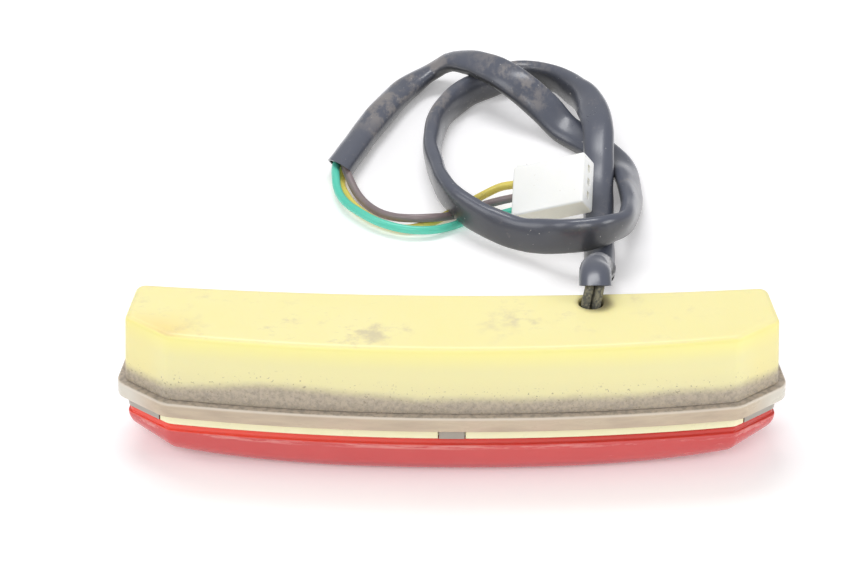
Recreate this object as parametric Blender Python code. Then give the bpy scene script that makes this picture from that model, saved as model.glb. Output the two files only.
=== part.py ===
"""Slim LED tail light with a sleeved three-wire harness and a latching three-way plug.

The light lies lens-down on a table at Z = 0, its cable side up. X runs along the lamp,
+Z points out of its back, and the harness lies on the table on the +Y side.
Units are metres. The origin is under the middle of the lamp's own box.
"""

import math

import bmesh
import bpy
from mathutils import Matrix, Vector

MM = 0.001
GAP = 0.3 * MM  # clearance between neighbouring pieces

# Plan outline of the housing: an arched strip with cut front corners.
HALF_LENGTH = 80.0 * MM
FRONT_Y = -13.0 * MM
FRONT_RADIUS = 392.0 * MM
REAR_Y = 14.0 * MM
REAR_RADIUS = 676.0 * MM
CHAMFER_X = 69.5 * MM
CHAMFER_END_Y = 2.3 * MM
END_TAPER = math.radians(7.6)
CREASE_RADIUS = 4.0 * MM
END_CORNER_RADIUS = 2.5 * MM
REAR_CORNER_RADIUS = 2.5 * MM
CORNER_STEPS = 3
ARC_STEPS = 8

# Heights above the table.
LENS_RIM_Z = 11.0 * MM
BASE_Z = LENS_RIM_Z + GAP
FLANGE_BOTTOM_Z = 14.7 * MM
FLANGE_TOP_Z = 18.7 * MM
WALL_BOTTOM_Z = FLANGE_TOP_Z + GAP
RIB_TOP_Z = 21.4 * MM
TRAY_PLATE_Z = 19.2 * MM
TRAY_TOP_Z = 20.4 * MM
BOARD_Z = 22.9 * MM
BOARD_TOP_Z = BOARD_Z + 1.6 * MM
CEILING_Z = 34.5 * MM
BACK_Z = 36.7 * MM

# Insets from the housing outline, positive inward.
WALL_DRAFT = 0.5 * MM
WALL_THICKNESS = 1.8 * MM
FLANGE_OVERHANG = 2.4 * MM
EDGE_ROUND = 1.5 * MM
SKIRT_INSET = 0.2 * MM
SKIRT_THICKNESS = 1.2 * MM
RIB_INSET = WALL_THICKNESS - WALL_DRAFT + GAP
RIB_THICKNESS = 1.1 * MM
TRAY_INSET = RIB_INSET + RIB_THICKNESS + GAP
TRAY_WALL = 1.2 * MM
BOARD_INSET = 5.3 * MM

# Windows in the clear skirt, where the tray rim shows: one each side of the middle rib.
WINDOW_START_X = 3.1 * MM
WINDOW_END_X = 71.8 * MM

# Lens dome.
LENS_WALL = 1.8 * MM
LENS_GROOVE = 0.6 * MM
LENS_GROOVE_DEPTH = 1.3 * MM
LENS_ROUND = 6.3 * MM
LENS_SECTION_POWER = 2.1
LENS_LENGTH_POWER = 3.0
LENS_HALF_LENGTH = 82.5 * MM
LENS_FLAT_SHARE = 0.985
LENS_RINGS = 7

# Electrics.
LED_COLUMNS = 6
LED_PITCH = 25.0 * MM
LED_ROW_Y = 4.8 * MM
LED_RADIUS = 2.5 * MM
LED_RIM_RADIUS = 2.9 * MM
LED_LENGTH = 8.6 * MM
SCREW_X = 50.0 * MM
BOSS_RADIUS = 2.8 * MM
PILOT_RADIUS = 1.2 * MM

# Cable exit.
HOLE_X = 34.0 * MM
HOLE_FROM_REAR = 5.0 * MM
HOLE_RADIUS = 2.95 * MM
WIRE_RADIUS = 1.15 * MM
TRIAD_RADIUS = 1.52 * MM
SLEEVE_RADIUS = 3.65 * MM
MOUTH_LEAN = math.radians(20)
MOUTH_OFFSET = Vector((1.0 * MM, 1.7 * MM, 3.8 * MM))
LEAD_RISE = 2.6 * MM
PAD_PITCH = 4.0 * MM

# Plug, in its own frame: X along the wires, Y across to the latch side, Z out of its face.
PLUG_LENGTH = 21.5 * MM
PLUG_WIDTH = 15.8 * MM
PLUG_THICKNESS = 6.6 * MM
PLUG_EDGE = 0.4 * MM
PLUG_CENTRE = Vector((27.6, 112.2, 10.9)) * MM
PLUG_X = Vector((0.887, -0.273, 0.373)).normalized()
PLUG_Y = Vector((0.052, 0.861, 0.505))
CAVITY_PITCH = 4.2 * MM
CAVITY_SIZE = 3.1 * MM
CAVITY_DEPTH = 19.5 * MM
TERMINAL_SIZE = 2.3 * MM
TERMINAL_LENGTH = 14.0 * MM
LATCH_LENGTH = 12.0 * MM
LATCH_WIDTH = 3.6 * MM
LATCH_THICKNESS = 0.8 * MM
LATCH_PAD_LENGTH = 3.2 * MM
LATCH_PAD_HEIGHT = 1.6 * MM
LATCH_SLOT_DEPTH = 1.8 * MM

# The harness on the table: hand-chosen points in millimetres.
SLEEVE_ROUTE = (
    (35.2, 17, 40.3), (36, 25.4, 35.8), (36.5, 33.9, 31), (37.2, 43.4, 25.6), (38, 55, 18.9),
    (39, 67.8, 11.4), (39.2, 79, 5), (39.8, 95.5, 3.8), (40.3, 115.5, 4.6), (40.8, 130.5, 7.6),
    (41, 144.5, 11.6), (40, 157.5, 11.6), (36.5, 173.5, 8.6), (29, 189, 5.2), (20.5, 193.5, 4.1),
    (11.5, 188, 3.8), (4, 180.5, 3.8), (-2.5, 167, 3.8), (-5, 150, 3.8), (-3.5, 130, 4.9),
    (0.5, 114, 7.2), (7.5, 104, 6.8), (16.5, 96.5, 6.2), (25, 90.5, 8.5), (32.5, 86, 11.3),
    (39.5, 86.5, 12.3), (45.3, 93.5, 10.4), (48.3, 106.5, 7.2), (49, 123.5, 4.6), (47, 140, 3.8),
    (40.5, 151.5, 3.8), (33, 160.5, 4.2), (26.5, 167, 7.6), (19.5, 172, 11.6), (13.5, 179, 12.4),
    (7, 187, 11.3), (0.5, 194, 8.2), (-6, 194.5, 5), (-13, 186.5, 3.8), (-21, 167.5, 3.8),
    (-30.5, 138, 3.8),
)
SLEEVE_POINTS = 72
WIRES = {
    "green": {
        "angle": 10,
        "across": -1,
        "route": (
            (-31.7, 131.8, 4.1), (-30.9, 125.1, 3.2), (-28.6, 118.7, 3), (-24.2, 112.6, 3),
            (-19, 107.6, 2.9), (-12.3, 104.5, 2.7), (-5.5, 104.9, 2.2), (-0.2, 108.1, 1.5),
            (5.6, 112.7, 1.3), (10, 113.5, 1.8), (13.9, 112.8, 2.9),
        ),
    },
    "brown": {
        "angle": 130,
        "across": 0,
        "route": (
            (-27.8, 131.9, 3.1), (-25, 124.7, 1.5), (-20.9, 117.7, 1.3), (-15.8, 112.1, 2.3),
            (-10.4, 108.7, 3.7), (-5.2, 109.3, 3.6), (-0.6, 112.5, 2.3), (3.6, 115.7, 1.6),
            (8.4, 117.1, 3), (13.4, 116.6, 4.9),
        ),
    },
    "yellow": {
        "angle": 250,
        "across": 1,
        "route": (
            (-30, 131.1, 1.3), (-28.8, 126.4, 1.25), (-27, 121.3, 1.25), (-23.5, 115.5, 1.25),
            (-18.8, 110.5, 1.25), (-12.3, 107.3, 1.25), (-6.6, 109.7, 1.25), (-1.6, 114.5, 1.25),
            (3.2, 119.3, 1.5), (8.8, 120.9, 4.2), (13.6, 120.4, 7.1),
        ),
    },
}
WIRE_POINTS = 22

COLOURS = {
    "cream_plastic": ((0.90, 0.84, 0.52), 0.45, 0.0),
    "clear_plastic": ((0.72, 0.64, 0.54), 0.35, 0.0),
    "red_plastic": ((0.62, 0.03, 0.03), 0.25, 0.0),
    "tray_plastic": ((0.94, 0.92, 0.72), 0.35, 0.0),
    "sealant": ((0.55, 0.53, 0.48), 0.70, 0.0),
    "board_laminate": ((0.03, 0.22, 0.08), 0.40, 0.0),
    "red_epoxy": ((0.75, 0.02, 0.02), 0.15, 0.0),
    "clear_epoxy": ((0.85, 0.87, 0.90), 0.15, 0.0),
    "resistor_body": ((0.62, 0.48, 0.32), 0.55, 0.0),
    "diode_body": ((0.03, 0.03, 0.03), 0.45, 0.0),
    "zinc_steel": ((0.72, 0.71, 0.68), 0.35, 1.0),
    "green_pvc": ((0.04, 0.46, 0.32), 0.40, 0.0),
    "brown_pvc": ((0.19, 0.14, 0.14), 0.45, 0.0),
    "yellow_pvc": ((0.75, 0.63, 0.12), 0.40, 0.0),
    "black_pvc": ((0.05, 0.05, 0.06), 0.50, 0.0),
    "nylon": ((0.88, 0.89, 0.86), 0.40, 0.0),
    "tinned_brass": ((0.75, 0.72, 0.62), 0.30, 1.0),
}


def clear_scene():
    for item in list(bpy.data.objects):
        bpy.data.objects.remove(item)


def material(name):
    """The named Principled material, made on first use."""
    if name in bpy.data.materials:
        return bpy.data.materials[name]
    colour, roughness, metallic = COLOURS[name]
    made = bpy.data.materials.new(name)
    made.use_nodes = True
    shader = made.node_tree.nodes["Principled BSDF"]
    shader.inputs["Base Color"].default_value = (*colour, 1.0)
    shader.inputs["Roughness"].default_value = roughness
    shader.inputs["Metallic"].default_value = metallic
    return made


def add_object(name, data, finish):
    made = bpy.data.objects.new(name, data)
    made.data.materials.append(material(finish))
    bpy.context.scene.collection.objects.link(made)
    return made


def object_from_bmesh(name, bm, finish, sharp_degrees=35):
    """Link a closed bmesh as an object, with its normals out and its round faces smooth."""
    bmesh.ops.recalc_face_normals(bm, faces=bm.faces)
    mesh = bpy.data.meshes.new(name)
    bm.to_mesh(mesh)
    bm.free()
    mesh.shade_smooth()
    mesh.set_sharp_from_angle(angle=math.radians(sharp_degrees))
    return add_object(name, mesh, finish)


# ---------------------------------------------------------------- plan outline


def on_circle(centre_y, radius, point, direction):
    """The lower of the two places where a line meets a circle about (0, centre_y)."""
    offset = point - Vector((0.0, centre_y))
    half_b = offset.dot(direction)
    root = math.sqrt(half_b**2 - offset.length_squared + radius**2)
    hits = [point + direction * (-half_b + side * root) for side in (-1, 1)]
    return min(hits, key=lambda hit: hit.y)


def fillet(before, corner, after, radius):
    """Points of the round that replaces a corner between two nearly straight sides."""
    to_before = (before - corner).normalized()
    to_after = (after - corner).normalized()
    half = math.acos(max(-1.0, min(1.0, to_before.dot(to_after)))) / 2
    centre = corner + (to_before + to_after).normalized() * radius / math.sin(half)
    start = corner + to_before * radius / math.tan(half) - centre
    end = corner + to_after * radius / math.tan(half) - centre
    turn = start.angle_signed(end)
    steps = [index / (CORNER_STEPS - 1) for index in range(CORNER_STEPS)]
    return [centre + Matrix.Rotation(-turn * step, 2) @ start for step in steps]


def arc(radius, centre_y, end_x, steps):
    """Points from x = 0 towards end_x, both left out, on the low side of a circle."""
    places = [end_x * (index + 1) / (steps + 1) for index in range(steps)]
    return [Vector((x, centre_y - math.sqrt(radius**2 - x**2))) for x in places]


def raw_outline(inset):
    """The closed outline, offset inward, before it is centred: front left to right, rear back."""
    front_centre = FRONT_Y + FRONT_RADIUS
    front_radius = FRONT_RADIUS - inset
    rear_centre = REAR_Y + REAR_RADIUS
    rear_radius = REAR_RADIUS + inset

    crease = Vector((CHAMFER_X, front_centre - math.sqrt(FRONT_RADIUS**2 - CHAMFER_X**2)))
    end_corner = Vector((HALF_LENGTH, CHAMFER_END_Y))
    chamfer_way = (end_corner - crease).normalized()
    end_way = Vector((-math.sin(END_TAPER), math.cos(END_TAPER)))
    inward = Matrix.Rotation(math.radians(90), 2)
    chamfer_point = crease + inward @ chamfer_way * inset
    end_point = end_corner + inward @ end_way * inset

    crease = on_circle(front_centre, front_radius, chamfer_point, chamfer_way)
    rear_corner = on_circle(rear_centre, rear_radius, end_point, end_way)
    cross = chamfer_way.cross(end_way)
    reach = (end_point - chamfer_point).cross(end_way) / cross
    end_corner = chamfer_point + chamfer_way * reach

    front_side = arc(front_radius, front_centre, crease.x, ARC_STEPS)
    rear_side = arc(rear_radius, rear_centre, rear_corner.x, ARC_STEPS + CORNER_STEPS)
    least = 0.4 * MM
    crease_round = max(CREASE_RADIUS - inset, least)
    front = front_side + fillet(front_side[-1], crease, end_corner, crease_round)
    front += fillet(crease, end_corner, rear_corner, max(END_CORNER_RADIUS - inset, least))
    corner = fillet(end_corner, rear_corner, rear_side[-1], max(REAR_CORNER_RADIUS - inset, least))
    rear = rear_side + corner[::-1]

    front_middle = Vector((0.0, FRONT_Y + inset))
    rear_middle = Vector((0.0, REAR_Y - inset))
    front_row = [Vector((-p.x, p.y)) for p in reversed(front)] + [front_middle] + front
    rear_row = [Vector((-p.x, p.y)) for p in reversed(rear)] + [rear_middle] + rear
    return front_row + rear_row[::-1]


def middle_of_depth():
    flange = [point.y for point in raw_outline(-FLANGE_OVERHANG)]
    return (min(flange) + max(flange)) / 2


Y_MIDDLE = middle_of_depth()
HOLE_Y = REAR_Y - Y_MIDDLE - HOLE_FROM_REAR + HOLE_X**2 / (2 * REAR_RADIUS)


def ring(inset, z):
    return [Vector((point.x, point.y - Y_MIDDLE, z)) for point in raw_outline(inset)]


def loft(name, rings, finish, closed=False):
    """Skin a stack of outline rings; the ends are capped by rungs from front to rear."""
    bm = bmesh.new()
    rows = [[bm.verts.new(point) for point in points] for points in rings]
    count = len(rows[0])
    pairs = list(zip(rows, rows[1:]))
    if closed:
        pairs.append((rows[-1], rows[0]))
    for low, high in pairs:
        for index in range(count):
            after = (index + 1) % count
            bm.faces.new((low[index], low[after], high[after], high[index]))
    if not closed:
        for row in (rows[0], rows[-1]):
            for index in range(count // 2 - 1):
                mate = count - 1 - index
                bm.faces.new((row[index], row[index + 1], row[mate - 1], row[mate]))
    return object_from_bmesh(name, bm, finish)


# ---------------------------------------------------------------- cutters and small solids


def box_bmesh(low, high):
    bm = bmesh.new()
    bmesh.ops.create_cube(bm, size=1.0)
    low, high = Vector(low), Vector(high)
    for vert in bm.verts:
        unit = vert.co + Vector((0.5, 0.5, 0.5))
        vert.co = Vector(low[axis] + unit[axis] * (high[axis] - low[axis]) for axis in range(3))
    return bm


def turned(name, profile, finish, segments=12):
    """A closed solid turned about Z from (radius, height) points, the first and last on the axis."""
    bm = bmesh.new()
    rows = []
    for radius, height in profile:
        if radius == 0:
            rows.append([bm.verts.new((0, 0, height))])
            continue
        turns = [2 * math.pi * index / segments for index in range(segments)]
        circle = [(radius * math.cos(turn), radius * math.sin(turn)) for turn in turns]
        rows.append([bm.verts.new((x, y, height)) for x, y in circle])
    for low, high in zip(rows, rows[1:]):
        for index in range(segments):
            after = (index + 1) % segments
            face = [low[index % len(low)], low[after % len(low)]]
            face += [high[after % len(high)], high[index % len(high)]]
            bm.faces.new(list(dict.fromkeys(face)))
    return object_from_bmesh(name, bm, finish)


def modify_with(target, other, operation):
    """Add a Boolean of target with a hidden helper solid."""
    other.hide_render = True
    other.display_type = "WIRE"
    change = target.modifiers.new(other.name, "BOOLEAN")
    change.operation = operation
    change.solver = "EXACT"
    change.object = other


def cylinder(name, radius, low, high, finish, place=(0.0, 0.0), segments=20):
    made = turned(name, ((0, low), (radius, low), (radius, high), (0, high)), finish, segments)
    made.location = (*place, 0.0)
    made.rotation_euler.z = math.pi / segments
    return made


# ---------------------------------------------------------------- the lamp


def centre_line_y(x):
    """Middle of the strip's depth at a place along it."""
    front = FRONT_Y + x**2 / (2 * FRONT_RADIUS)
    rear = REAR_Y + x**2 / (2 * REAR_RADIUS)
    return (front + rear) / 2 - Y_MIDDLE


def screw_places():
    return [(side * SCREW_X, centre_line_y(SCREW_X)) for side in (-1, 1)]


def make_housing():
    inner = WALL_THICKNESS
    housing = loft(
        "housing",
        [
            ring(inner, CEILING_Z),
            ring(inner - WALL_DRAFT, WALL_BOTTOM_Z),
            ring(-WALL_DRAFT, WALL_BOTTOM_Z),
            ring(0.0, BACK_Z - EDGE_ROUND),
            ring(EDGE_ROUND * 0.29, BACK_Z - EDGE_ROUND * 0.29),
            ring(EDGE_ROUND, BACK_Z),
        ],
        "cream_plastic",
    )
    low, root = BOARD_TOP_Z + GAP, CEILING_Z + 0.6 * MM
    bore_top = CEILING_Z - 2.0 * MM
    profile = (
        (0, bore_top), (PILOT_RADIUS, bore_top), (PILOT_RADIUS, low), (BOSS_RADIUS, low),
        (BOSS_RADIUS, root), (0, root),
    )
    for number, (x, y) in enumerate(screw_places(), 1):
        boss = turned(f"boss_{number}", profile, "cream_plastic", 18)
        boss.location = (x, y, 0.0)
        modify_with(housing, boss, "UNION")
    hole = cylinder(
        "cable_hole", HOLE_RADIUS, CEILING_Z - MM, BACK_Z + MM, "cream_plastic",
        (HOLE_X, HOLE_Y), 28,
    )
    modify_with(housing, hole, "DIFFERENCE")


def window_cutters(name, start, end, depth_low, depth_high):
    """Two boxes that clear the windows, left and right of the middle rib."""
    cutters = []
    for side, label in ((-1, "left"), (1, "right")):
        low_x, high_x = sorted((side * start, side * end))
        bm = box_bmesh((low_x, -60 * MM, depth_low), (high_x, 60 * MM, depth_high))
        cutters.append(object_from_bmesh(f"{name}_{label}", bm, "clear_plastic"))
    return cutters


def make_lens_base():
    """Clear ring: outer flange, locating rib inside the housing, skirt with two windows."""
    rib_in = RIB_INSET + RIB_THICKNESS
    base = loft(
        "lens_base",
        [
            ring(SKIRT_INSET, BASE_Z),
            ring(-0.3 * MM, FLANGE_BOTTOM_Z),
            ring(-FLANGE_OVERHANG, FLANGE_BOTTOM_Z + 0.4 * MM),
            ring(-FLANGE_OVERHANG, FLANGE_TOP_Z - 0.4 * MM),
            ring(-FLANGE_OVERHANG + 0.4 * MM, FLANGE_TOP_Z),
            ring(RIB_INSET, FLANGE_TOP_Z),
            ring(RIB_INSET, RIB_TOP_Z),
            ring(rib_in, RIB_TOP_Z),
            ring(rib_in, FLANGE_BOTTOM_Z),
            ring(SKIRT_INSET + SKIRT_THICKNESS, FLANGE_BOTTOM_Z),
            ring(SKIRT_INSET + SKIRT_THICKNESS, BASE_Z),
        ],
        "clear_plastic",
        closed=True,
    )
    cutters = window_cutters(
        "window", WINDOW_START_X, WINDOW_END_X, BASE_Z - MM, FLANGE_BOTTOM_Z
    )
    for cutter in cutters:
        modify_with(base, cutter, "DIFFERENCE")


def make_tray():
    """Cream tray: its rim fills the windows, its plate holds the LEDs' heads."""
    rim_top = FLANGE_BOTTOM_Z - GAP
    tray = loft(
        "reflector_tray",
        [
            ring(TRAY_INSET + TRAY_WALL, TRAY_PLATE_Z),
            ring(TRAY_INSET + TRAY_WALL * 0.8, BASE_Z),
            ring(SKIRT_INSET, BASE_Z),
            ring(SKIRT_INSET - 0.2 * MM, rim_top),
            ring(TRAY_INSET, rim_top),
            ring(TRAY_INSET, TRAY_TOP_Z),
        ],
        "tray_plastic",
    )
    skirt_in = SKIRT_INSET + SKIRT_THICKNESS + GAP
    gap_half, gap_top = WINDOW_START_X + GAP, rim_top + MM
    gap_box = box_bmesh((-gap_half, -60 * MM, 0.0), (gap_half, 60 * MM, gap_top))
    middle = object_from_bmesh("rim_gap_middle", gap_box, "tray_plastic")
    keep = loft("rim_gap_core", [ring(skirt_in, -MM), ring(skirt_in, BACK_Z)], "tray_plastic")
    modify_with(middle, keep, "DIFFERENCE")
    modify_with(tray, middle, "DIFFERENCE")
    for side, label in ((-1, "left"), (1, "right")):
        low_x, high_x = sorted((side * (WINDOW_END_X - GAP), side * 100 * MM))
        end = object_from_bmesh(
            f"rim_gap_{label}",
            box_bmesh((low_x, -60 * MM, 0.0), (high_x, 60 * MM, gap_top)),
            "tray_plastic",
        )
        modify_with(end, keep, "DIFFERENCE")
        modify_with(tray, end, "DIFFERENCE")
    for number, (x, y, _) in enumerate(led_places(), 1):
        hole = cylinder(
            f"led_hole_{number}", LED_RIM_RADIUS + GAP, TRAY_PLATE_Z - 2 * MM, TRAY_TOP_Z + MM,
            "tray_plastic", (x, y), 16,
        )
        modify_with(tray, hole, "DIFFERENCE")


def dome_ring(share, wall):
    """One ring of the lens dome; share runs from 0 at the rim to 1 at its flat middle."""
    inset = LENS_ROUND * (1 - math.cos(share * math.pi / 2)) + wall
    edge_z = LENS_RIM_Z - (LENS_GROOVE_DEPTH + 0.4 * MM) * (1 - wall / LENS_WALL)
    section = 1 - math.cos(share * math.pi / 2)
    fall = (1 - (1 - section) ** LENS_SECTION_POWER) ** (1 / LENS_SECTION_POWER)
    points = []
    for point in ring(inset, 0.0):
        along = min(abs(point.x) / LENS_HALF_LENGTH, 1.0)
        depth = (1 - along**LENS_LENGTH_POWER) ** (1 / LENS_LENGTH_POWER)
        depth = min(depth / LENS_FLAT_SHARE, 1.0) * (edge_z - wall)
        points.append(Vector((point.x, point.y, edge_z - depth * fall)))
    return points


def make_red_lens():
    shares = [index / LENS_RINGS for index in range(LENS_RINGS + 1)]
    groove_z = LENS_RIM_Z - LENS_GROOVE_DEPTH
    inside = [dome_ring(share, LENS_WALL) for share in reversed(shares)]
    rim = [ring(LENS_GROOVE, LENS_RIM_Z), ring(LENS_GROOVE, groove_z)]
    outside = [dome_ring(share, 0.0) for share in shares]
    loft("red_lens", inside + rim + outside, "red_plastic")


def make_seal_ring():
    """Bead of sealant on the locating rib, inside the housing wall."""
    low, high = RIB_TOP_Z + GAP, RIB_TOP_Z + 1.3 * MM
    outer, inner = RIB_INSET + GAP, RIB_INSET + RIB_THICKNESS + 0.2 * MM
    rings = [ring(outer, low), ring(outer, high), ring(inner, high), ring(inner, low)]
    loft("sealing_bead", rings, "sealant", closed=True)


# ---------------------------------------------------------------- electrics


def led_places():
    """Two rows of red LEDs, and two plate LEDs between the middle columns."""
    places = []
    for column in range(LED_COLUMNS):
        x = (column - (LED_COLUMNS - 1) / 2) * LED_PITCH
        for row in (-1, 1):
            places.append((x, centre_line_y(x) + row * LED_ROW_Y, "red"))
    for row in (-1, 1):
        places.append((0.0, centre_line_y(0.0) + row * LED_ROW_Y, "plate"))
    return places


def make_leds():
    top = BOARD_Z - GAP
    rim = top - 1.0 * MM
    tip = top - LED_LENGTH
    dome = tip + LED_RADIUS
    profile = [(0, tip)]
    for degrees in (30, 60, 90):
        angle = math.radians(degrees)
        profile.append((LED_RADIUS * math.sin(angle), dome - LED_RADIUS * math.cos(angle)))
    profile += [(LED_RADIUS, rim), (LED_RIM_RADIUS, rim), (LED_RIM_RADIUS, top), (0, top)]
    counts = {"red": 0, "plate": 0}
    for x, y, kind in led_places():
        counts[kind] += 1
        finish = "red_epoxy" if kind == "red" else "clear_epoxy"
        led = turned(f"{kind}_led_{counts[kind]:02d}", profile, finish)
        led.location = (x, y, 0.0)


def make_board():
    rings = [ring(BOARD_INSET, BOARD_Z), ring(BOARD_INSET, BOARD_TOP_Z)]
    board = loft("circuit_board", rings, "board_laminate")
    for number, place in enumerate(screw_places(), 1):
        hole = cylinder(
            f"board_hole_{number}", 1.6 * MM, BOARD_Z - MM, BOARD_TOP_Z + MM, "board_laminate",
            place, 16,
        )
        modify_with(board, hole, "DIFFERENCE")


def make_screws():
    head_top = BOARD_Z - GAP
    head_low = head_top - 1.6 * MM
    tip = CEILING_Z - 4.0 * MM
    profile = (
        (0, head_low), (1.6 * MM, head_low), (2.4 * MM, head_low + 0.5 * MM), (2.4 * MM, head_top),
        (0.9 * MM, head_top), (0.9 * MM, tip - MM), (0, tip),
    )
    for number, place in enumerate(screw_places(), 1):
        screw = turned(f"board_screw_{number}", profile, "zinc_steel", 14)
        screw.location = (*place, 0.0)


def lead_part(name, place, body_radius, body_length, finish):
    """An axial part lying along X on the board's cable side, its leads straight out."""
    lead, reach = 0.35 * MM, body_length / 2 + 2.6 * MM
    half = body_length / 2
    profile = (
        (0, -reach), (lead, -reach), (lead, -half), (body_radius, -half + 0.3 * MM),
        (body_radius, half - 0.3 * MM), (lead, half), (lead, reach), (0, reach),
    )
    part = turned(name, profile, finish)
    part.rotation_euler = (0.0, math.radians(90), 0.0)
    part.location = (*place, BOARD_TOP_Z + GAP + body_radius)


def make_small_parts():
    for number, x in enumerate((-28.0 * MM, -8.0 * MM, 12.0 * MM), 1):
        place = (x, centre_line_y(x) - 2.0 * MM)
        lead_part(f"resistor_{number}", place, 1.2 * MM, 6.4 * MM, "resistor_body")
    for number, x in enumerate((-18.0 * MM, 2.0 * MM), 1):
        place = (x, centre_line_y(x) + 4.0 * MM)
        lead_part(f"diode_{number}", place, 1.3 * MM, 4.6 * MM, "diode_body")


def make_cable_seal():
    """Block of sealant against the ceiling and rear wall, moulded round the three leads."""
    low, high = CEILING_Z - GAP - 2.6 * MM, CEILING_Z - GAP
    rear = HOLE_FROM_REAR - WALL_THICKNESS - GAP
    block = box_bmesh((-5 * MM, -5.4 * MM, low), (5 * MM, rear, high))
    seal = object_from_bmesh("cable_seal", block, "sealant")
    seal.location = (HOLE_X, HOLE_Y, 0.0)
    bore = cylinder(
        "seal_bore", HOLE_RADIUS, low - MM, high + MM, "sealant", (HOLE_X, HOLE_Y), 28
    )
    modify_with(seal, bore, "DIFFERENCE")


# ---------------------------------------------------------------- harness


def smooth_points(route, count):
    """Evenly spaced points on a centripetal Catmull-Rom curve through the route."""
    points = [route[0] * 2 - route[1], *route, route[-1] * 2 - route[-2]]
    dense = []
    for a, b, c, d in zip(points, points[1:], points[2:], points[3:]):
        knots = [0.0]
        for first, second in ((a, b), (b, c), (c, d)):
            knots.append(knots[-1] + (second - first).length ** 0.5)
        for step in range(12):
            t = knots[1] + (knots[2] - knots[1]) * step / 12
            ab = a.lerp(b, (t - knots[0]) / (knots[1] - knots[0]))
            bc = b.lerp(c, (t - knots[1]) / (knots[2] - knots[1]))
            cd = c.lerp(d, (t - knots[2]) / (knots[3] - knots[2]))
            abc = ab.lerp(bc, (t - knots[0]) / (knots[2] - knots[0]))
            bcd = bc.lerp(cd, (t - knots[1]) / (knots[3] - knots[1]))
            dense.append(abc.lerp(bcd, (t - knots[1]) / (knots[2] - knots[1])))
    dense.append(route[-1])
    return resample(dense, count)


def resample(points, count):
    travelled = [0.0]
    for first, second in zip(points, points[1:]):
        travelled.append(travelled[-1] + (second - first).length)
    result, index = [], 0
    for step in range(count):
        target = travelled[-1] * step / (count - 1)
        while index < len(points) - 2 and travelled[index + 1] < target:
            index += 1
        span = travelled[index + 1] - travelled[index]
        result.append(points[index].lerp(points[index + 1], (target - travelled[index]) / span))
    return result


def cord(name, points, radius, finish, sides):
    """A plain round cord: a bevelled POLY curve with filled ends."""
    curve = bpy.data.curves.new(name, "CURVE")
    curve.dimensions = "3D"
    curve.bevel_depth = radius
    curve.bevel_resolution = sides
    curve.use_fill_caps = True
    spline = curve.splines.new("POLY")
    spline.points.add(len(points) - 1)
    for target, point in zip(spline.points, points):
        target.co = (*point, 1.0)
    spline.use_smooth = True
    return add_object(name, curve, finish)


def in_metres(route):
    return [Vector(point) * MM for point in route]


def mouth_frame():
    """Centre and axis of the sleeve's first end, just above the cable hole."""
    centre = Vector((HOLE_X, HOLE_Y, BACK_Z)) + MOUTH_OFFSET
    return centre, Vector((0.0, math.cos(MOUTH_LEAN), math.sin(MOUTH_LEAN)))


def triad(centre, axis, degrees):
    """A wire's place in the three-wire bundle across a given axis."""
    side = axis.cross(Vector((0, 0, 1))).normalized()
    above = side.cross(axis)
    angle = math.radians(degrees)
    return centre + (side * math.cos(angle) + above * math.sin(angle)) * TRIAD_RADIUS


def make_leads():
    """Three short leads from the board, through the seal and the hole, up to the sleeve's mouth."""
    hole = Vector((HOLE_X, HOLE_Y, 0.0))
    for colour, degrees in (("green", 150), ("brown", 30), ("yellow", 270)):
        angle = math.radians(degrees)
        spread = Vector((math.cos(angle), -math.sin(angle), 0.0))
        stem = hole + spread * TRIAD_RADIUS
        pad_y = -2.6 * MM + spread.y * 0.6 * MM
        pad = hole + Vector((spread.x * PAD_PITCH, pad_y, BOARD_TOP_Z + GAP))
        behind = spread.y * TRIAD_RADIUS + WIRE_RADIUS - MOUTH_OFFSET.y
        rise = min(MOUTH_OFFSET.z - behind / math.tan(MOUTH_LEAN) - 4 * GAP, LEAD_RISE)
        route = [
            pad,
            pad + Vector((0, 0, 1.6 * MM)),
            stem + Vector((0, 0, CEILING_Z - 3.4 * MM)),
            stem + Vector((0, 0, CEILING_Z)),
            stem + Vector((0, 0, BACK_Z + rise)),
        ]
        cord(f"lead_{colour}", smooth_points(route, 12), WIRE_RADIUS, f"{colour}_pvc", 2)


def make_sleeve():
    mouth, axis = mouth_frame()
    route = [mouth, mouth + axis * 3.0 * MM] + in_metres(SLEEVE_ROUTE)
    points = smooth_points(route, SLEEVE_POINTS)
    cord("cable_sleeve", points, SLEEVE_RADIUS, "black_pvc", 4)
    return points


def plug_matrix():
    face = PLUG_X.cross(PLUG_Y).normalized()
    across = face.cross(PLUG_X)
    turn = Matrix((PLUG_X, across, face)).transposed().to_4x4()
    return Matrix.Translation(PLUG_CENTRE) @ turn


def make_wires(sleeve_points):
    """Bare wires from the sleeve's far end into the plug's cavities."""
    end = sleeve_points[-1]
    axis = (sleeve_points[-1] - sleeve_points[-2]).normalized()
    plug = plug_matrix()
    for colour, wire in WIRES.items():
        start = triad(end, axis, wire["angle"]) + axis * 2 * GAP
        entry = Vector((-PLUG_LENGTH / 2, wire["across"] * CAVITY_PITCH, 0.0))
        route = [start, start + axis * 2.5 * MM] + in_metres(wire["route"])
        route += [plug @ (entry + Vector((step, 0, 0))) for step in (-0.6 * MM, 3.0 * MM)]
        cord(f"wire_{colour}", smooth_points(route, WIRE_POINTS), WIRE_RADIUS, f"{colour}_pvc", 2)


def place_on_plug(made, local=(0.0, 0.0, 0.0)):
    made.matrix_world = plug_matrix() @ Matrix.Translation(Vector(local))


def bevel_edges(made, width):
    bevel = made.modifiers.new("edge", "BEVEL")
    bevel.width = width
    bevel.segments = 1
    bevel.limit_method = "ANGLE"


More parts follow.
